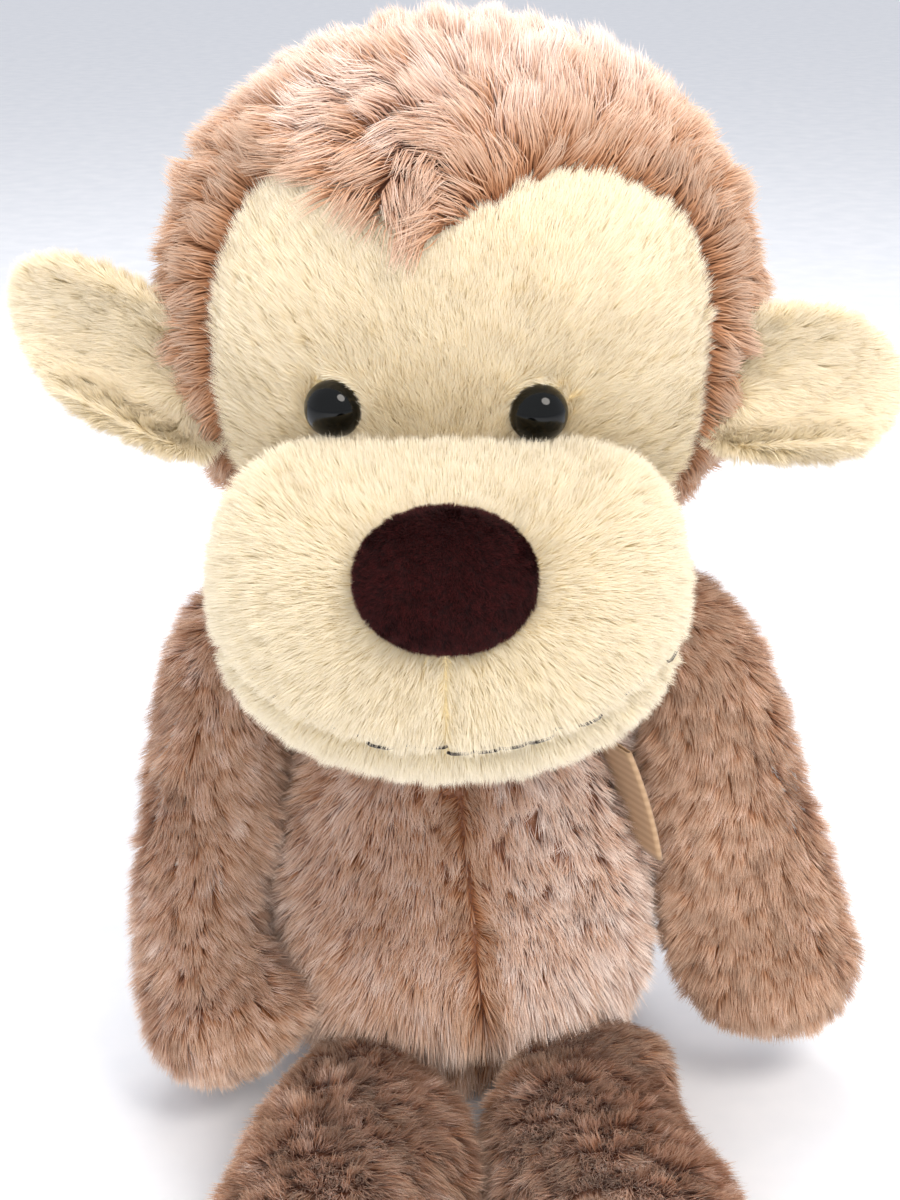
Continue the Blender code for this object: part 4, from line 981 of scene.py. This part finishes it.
root, normal, flow = scatter(muzzle, muzzle_faces, muzzle - NOSE_PLACE, count=190000, seed=61,
                             keep=clear_of_nose)
flow = unit(flow)
above = root[:, 2] - mouth_height(root[:, 0] - MUZZLE["centre"][0])
by_mouth = hump(above, 1.7) * step(-root[:, 1], 40, 52)
flow[:, 2] += np.sign(above) * by_mouth * 0.5
off_line = root[:, 0] - NOSE_PLACE[0]
by_line = hump(off_line, 1.6) * step(-root[:, 1], 60, 72) * (root[:, 2] < 128) * (above > 0)
flow[:, 0] += np.sign(off_line) * by_line
grow("muzzle_fur", root, normal, flow, "head", width=0.18, lean=24, bend=24, tuft=2.0, pull=0.18,
     stray=18, wander=14, seed=62, **BEIGE_FUR,
     length=MUZZLE_LENGTH * (1 - MOUTH_SHORTER * by_mouth - LINE_SHORTER * by_line),
     tone=MUZZLE_PAINTED_SHADE - CHIN_PAINTED_SHADOW * (above < 0) - MOUTH_PAINTED_SHADE * by_mouth - LINE_PAINTED_SHADE * by_line)

# %% [markdown]
# ## Nose
# The nose is a padded oval of velour, sewn on high at the front of the muzzle and leaning back. A flattened
# sphere gives the pad, and very short strands that lie every way give it the deep, soft look of velour.

# %% Nose pad and its velour
NOSE_LEAN = math.radians(24)
nose, nose_faces = spherical(full_form, 22, 32, centre=(0, 0, 0), halves=(13.6, 7.0, 10.8), power=0.94)
lean_cos, lean_sin = math.cos(NOSE_LEAN), math.sin(NOSE_LEAN)
nose = nose @ np.array([[1, 0, 0], [0, lean_cos, lean_sin], [0, -lean_sin, lean_cos]]).T + NOSE_PLACE
add_skin("nose_skin", nose, nose_faces, NOSE_BACKING, "nose_plush", "head", ("nose_pad",), fill=0.9)
nose_roots = scatter(nose, nose_faces, DOWN, count=60000, seed=71,
                     keep=lambda root: depth_in_muzzle(root) > 0.95)
grow("nose_fur", *nose_roots, "head", NOSE_PILE, "nose_plush", length=1.1, width=0.12, lean=40, bend=15,
     tuft=1.0, pull=0.1, wander=60, stray=30, fleck=0.1, seed=72)

# %% [markdown]
# ## Eyes
# Safety eyes are moulded in one piece from black plastic: a polished dome with a thin rim, and a shank
# that goes through the cloth. The Spin tool could turn it. Here a profile of radius and height is
# carried round the direction that the eye looks in, so that no doubled points are left to merge.

# %% Eye domes
SHANK_RADIUS, SHANK_LENGTH = 1.6, 10
EYE_TURNS = 40
# Polished ABS: nearly black, with one sharp glint and a dim mirror of the room.
eye_plastic = grained("moulded_abs_black", "#010202", "#030505", grain_mm=3.0,
                      Roughness=0.08, IOR=1.54, Specular_IOR_Level=0.28)
eye_steps = np.linspace(0, np.pi / 2, 14)
eye_profile = np.stack([EYE_RADIUS * np.sin(eye_steps), EYE_RIM + EYE_HEIGHT * np.cos(eye_steps)], axis=1)
shank = [[EYE_RADIUS, EYE_RIM - 0.6], [SHANK_RADIUS, EYE_RIM - 0.8], [SHANK_RADIUS, -SHANK_LENGTH]]
eye_profile = np.vstack([eye_profile[1:], shank])
around = 2 * np.pi * np.arange(EYE_TURNS) / EYE_TURNS
for side, (place, out) in EYES.items():
    right = unit(np.cross([0, 0, 1.0], out))
    up = np.cross(out, right)
    spokes = np.cos(around)[:, None] * right + np.sin(around)[:, None] * up
    rings = place + eye_profile[:, None, :1] * spokes[None] + eye_profile[:, None, 1:] * out
    top, end = place + out * (EYE_RIM + EYE_HEIGHT), place - out * SHANK_LENGTH
    points = np.vstack([[top], rings.reshape(-1, 3), [end]])
    add_surface(f"{side}_eye_dome", points, sphere_triangles(len(eye_profile), EYE_TURNS),
                eye_plastic, "head", (f"{side}_eye",))
print("eyes", len(EYES))

# %% [markdown]
# ## Mouth thread
# A dark thread runs in and out of the mouth seam, so it shows as separate stitches. Most sink into the
# pile and a few lie free on it. A curve with a bevel would do, but a round profile carried along each
# stitch makes one closed mesh of them all.

# %% Stitches
# Twisted polyester thread: almost black, with grey lights on its twist painted into its grain, drawn coarser
# than real to show.
thread_black = grained("polyester_thread_black", "#0d0a0a", "#2c2322", grain_mm=0.5, Roughness=0.7)


def mouth_place(turn):
    """Places on the muzzle's pile along the mouth seam, by the angle round the muzzle."""
    drop = MUZZLE["centre"][2] - mouth_height(MOUTH_REACH * np.sin(turn))
    share = -(drop / MUZZLE["halves"][2]) ** (1 / MUZZLE["power"])
    ring = np.sqrt(1 - share ** 2)
    u = np.stack([ring * np.sin(turn), -ring * np.cos(turn), share], axis=1)
    return full_form(u, **MUZZLE)


STITCHES, MOUTH_TURN = 22, math.radians(74)
FREE_STITCHES = (8, 11, 12, 13, 14, 16, 21)
THREAD_RADIUS, FREE_HEIGHT, SUNK_HEIGHT = 0.27, 2.5, 0.8
STATIONS, THREAD_SIDES, CHIN_MIDDLE = 7, 8, np.array([0, -48, 110])
ring = (2 * np.pi * np.arange(THREAD_SIDES) / THREAD_SIDES)[None, :, None]
span = np.linspace(-1, 1, STATIONS)
stitch_points, stitch_faces = [], []
for number in range(STITCHES):
    middle_turn = MOUTH_TURN * (2 * (number + 0.5) / STITCHES - 1)
    path = mouth_place(middle_turn + span * MOUTH_TURN / STITCHES * 0.96)
    height = FREE_HEIGHT if number in FREE_STITCHES else SUNK_HEIGHT
    lift = height - 0.5 * np.abs(span) ** 6
    path += unit(path - CHIN_MIDDLE) * lift[:, None]
    along = unit(np.gradient(path, axis=0))
    side = unit(np.cross(along, [0, 0, 1.0]))
    up = np.cross(side, along)
    tube = path[:, None] + THREAD_RADIUS * (np.cos(ring) * side[:, None] + np.sin(ring) * up[:, None])
    points = np.vstack([path[:1], tube.reshape(-1, 3), path[-1:]])
    stitch_faces.append(sphere_triangles(STATIONS, THREAD_SIDES) + len(points) * number)
    stitch_points.append(points)
add_surface("mouth_stitches", np.vstack(stitch_points), np.vstack(stitch_faces), thread_black,
            "head", ("mouth_thread",))
print("stitches", STITCHES)

# %% [markdown]
# ## Ears
# An ear is two layers of beige plush sewn round the edge and turned out. It is narrow at its root and
# cupped forwards, tightly below and gently above, and its pile runs out towards the rim. A flat leaf
# with a bend modifier would be near, but its curl could not differ above and below.

# %% The form of an ear
EAR_REACH, EAR_HALF_HEIGHT, EAR_HALF_THICK = 36.0, 16.5, 2.2
EAR_UPPER_CURL, EAR_LOWER_CURL = 32.0, 7.4
EAR_UPPER_TAPER, EAR_LOWER_TAPER = 0.10, 0.50
EAR_DEPTH = 4.5
EAR_SQUARE = 0.28
EAR_SLOPES = {"left": -0.10, "right": 0.36}
EAR_SWEEP = math.radians(20)
EAR_HINGE = np.array([48.1, -11, 144])


def ear_form(u, side):
    """A leaf curled round a small radius below and a large one above: its places, and the flow on it."""
    sign = SIDES[side]
    root = EAR_HINGE * np.array([sign, 1, 1])
    out = np.array([sign * math.cos(EAR_SWEEP), math.sin(EAR_SWEEP), EAR_SLOPES[side]])
    front = np.array([sign * math.sin(EAR_SWEEP), -math.cos(EAR_SWEEP), 0])
    up = np.array([0, 0, 1.0])
    along = (EAR_REACH + EAR_DEPTH) / 2 * (1 + u[:, 0]) - EAR_DEPTH
    upper = u[:, 1] > 0
    curl = np.where(upper, EAR_UPPER_CURL, EAR_LOWER_CURL)
    taper = np.where(upper, EAR_UPPER_TAPER, EAR_LOWER_TAPER)
    square = np.maximum(1 - np.minimum(u[:, 0], 0) ** 2, 1e-4) ** -EAR_SQUARE
    narrow = square - np.maximum(u[:, 0], 0) * taper
    turn = EAR_HALF_HEIGHT * u[:, 1] * narrow / curl
    inner = curl - EAR_HALF_THICK * u[:, 2]
    height, bowl = inner * np.sin(turn), curl - inner * np.cos(turn)
    places = root + out * along[:, None] + up * height[:, None] + front * bowl[:, None]
    rimwards = up * np.cos(turn)[:, None] + front * np.sin(turn)[:, None]
    return places, out * (0.7 + u[:, :1]) + rimwards * u[:, 1:2] * 0.9


print("ears", EAR_REACH + EAR_DEPTH, "mm long with their roots")

# %% Ear skins and pile
# The right ear is a mirror image, so its triangles are turned round to point outwards.
for number, (side, sign) in enumerate(SIDES.items()):
    (points, along), ear_faces = spherical(ear_form, 26, 48, side=side)
    ear_faces = ear_faces[:, ::sign]
    body = f"{side}_ear"
    add_skin(f"{body}_skin", points, ear_faces, body=body, fill=0.4,
             nodes=(f"{body}_front", f"{body}_back"), **BEIGE_CLOTH)
    ear_roots = scatter(points, ear_faces, along, count=62000, seed=81 + number,
                        keep=lambda root: depth_in(root, **HEAD) > 1.02)
    grow(f"{body}_fur", *ear_roots, body, length=4.2, width=0.2, lean=38, bend=22, tuft=2.4, pull=0.25,
         wander=16, tone=0.3, seed=83 + number, **BEIGE_FUR)

# %% [markdown]
# ## Tail
# The tail is a slim stuffed tube that lies on the ground behind the body. It is a limb without swells,
# so the function that forms the limbs makes it too.

# %% Tail skin and pile
TAIL_ROOT = np.array([0, 38.46, 16.0])
TAIL = np.vstack([TAIL_ROOT, [(0, 60, 12), (-12, 80, 10.5), (-42, 86, 11)]])
tail, tail_along = limb_form(limb_grid, TAIL, 4.0, (4, 4), (4, 4), 3.5)
add_skin("tail_skin", tail, limb_triangles, body="tail", fill=0.6, nodes=("tail_cover",), **BROWN_CLOTH)
tail_roots = scatter(tail, limb_triangles, tail_along, count=30000, seed=91)
grow("tail_fur", *tail_roots, "tail", length=4.6, tone=0.15, tuft=3.0, pull=0.2, lean=30, fleck=0.2, seed=92,
     **BODY_PILE)

# %% [markdown]
# ## Label
# A short piece of blank woven tape is folded in half and caught in the side seam. It is a sheet: a
# strip that runs out, round the fold and back, carried up along the seam. A simulation would hardly
# move so stiff a tape, so it is formed directly.

# %% Label tape
# Woven polyester tape: dull tan with fine ribs, which are drawn at 0.9 mm, coarser than real ones, to show.
label_tape, tree, shader = start_material("woven_polyester_tape", Roughness=0.75, Sheen_Weight=0.2)
RIB_MM = 0.9
place = add_node(tree, "ShaderNodeTexCoord")
rib_scale = 1 / (RIB_MM * MM) / (2 * math.pi)
weave = add_node(tree, "ShaderNodeTexWave", {"Scale": rib_scale, "Distortion": 0.6, "Detail": 1.0},
                 {"Vector": place.outputs["Object"]}, bands_direction="Z")
tint = add_node(tree, "ShaderNodeValToRGB", links={"Fac": weave.outputs["Fac"]},
                stops=((0.2, "#b0906f"), (0.8, "#bd9d7c")))
tree.links.new(tint.outputs["Color"], shader.inputs["Base Color"])
LABEL_HEIGHT, LABEL_REACH, LABEL_SEWN, LABEL_GAP = 22.0, 8.0, 3.0, 1.0
LABEL_Z, LABEL_ANGLE = 64.0, math.radians(-26)
ON_PILE, OFF_PILE, TAPE_THICKNESS = 4.5, 2.0, 0.35
LABEL_FORWARD = np.array([0, -0.66, 0])


def side_seam(height):
    """Places on the torso's pile beside the label at each height, and the level direction out of it."""
    centre, halves, power = np.array(TORSO["centre"]), np.array(TORSO["halves"]), TORSO["power"]
    share = np.sign(height - centre[2]) * (np.abs(height - centre[2]) / halves[2]) ** (1 / power)
    ring = np.sqrt(1 - share ** 2)
    u = np.stack([ring * math.cos(LABEL_ANGLE), ring * math.sin(LABEL_ANGLE), share], axis=1)
    out = np.array([math.cos(LABEL_ANGLE) / halves[0], math.sin(LABEL_ANGLE) / halves[1], 0])
    return full_form(u, **TORSO) + unit(out) * ON_PILE, unit(out)


fold = np.linspace(-np.pi / 2, np.pi / 2, 7)
strip = np.vstack([
    np.stack([np.linspace(-LABEL_SEWN, LABEL_REACH, 8), np.full(8, -LABEL_GAP / 2)], axis=1),
    np.stack([LABEL_REACH + LABEL_GAP / 2 * np.cos(fold), LABEL_GAP / 2 * np.sin(fold)], axis=1)[1:-1],
    np.stack([np.linspace(LABEL_REACH, -LABEL_SEWN, 8), np.full(8, LABEL_GAP / 2)], axis=1)])
heights = np.linspace(LABEL_Z - LABEL_HEIGHT / 2, LABEL_Z + LABEL_HEIGHT / 2, 16)
seam_place, seam_out = side_seam(heights)
label_way = unit(seam_out * 0.75 + LABEL_FORWARD)
aside = np.array([-label_way[1], label_way[0], 0])
label = (seam_place + seam_out * OFF_PILE)[:, None]
label = label + strip[None, :, :1] * label_way + strip[None, :, 1:] * aside
rows, columns = label.shape[:2]
here = np.arange(rows * columns).reshape(rows, columns)
label_faces = halved(np.stack([here[:-1, :-1], here[:-1, 1:], here[1:, 1:], here[1:, :-1]], axis=-1))
label_piece = add_surface("label_tape", label.reshape(-1, 3), label_faces, label_tape,
                          "torso", ("seam_label",))
solid = label_piece.modifiers.new("tape", "SOLIDIFY")
solid.thickness = TAPE_THICKNESS * MM
solid.offset = 0.0

# %% [markdown]
# ## Stuffing and fittings inside
# Fibre fill, the pouch of pellets, the gathered ends of the limbs and the eyes' lock washers stay inside
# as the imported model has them. They only get finishes of their own, for anyone who opens the model up.

# %% Finishes inside
# Carded fibre is white and matt in soft streaks, cotton has an even weave, polyethylene a soft milky gloss.
FINISHES = {
    "stuffing": grained("polyester_fibre_fill", "#d6d6d2", "#f2f2ef", grain_mm=2.0, **KNIT),
    "pouch": grained("plain_woven_cotton", "#bdbab2", "#dad7cf", grain_mm=0.8, **KNIT),
    "washer": grained("moulded_polyethylene_white", "#d8d8d4", "#e2e2de", grain_mm=4.0, Roughness=0.4),
    "tuck": BROWN_BACKING,
}
for name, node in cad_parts.items():
    finish = FINISHES.get(name.split("_")[-1])
    if finish:
        node.data.materials.clear()
        node.data.materials.append(finish)
print("finishes inside", len(FINISHES))

# %% Measure and finish
bpy.context.view_layer.update()
shown = [o.data for o in scene.objects if o.type == "MESH" and not o.hide_render]
print("triangles", sum(len(mesh.loop_triangles) for mesh in shown))
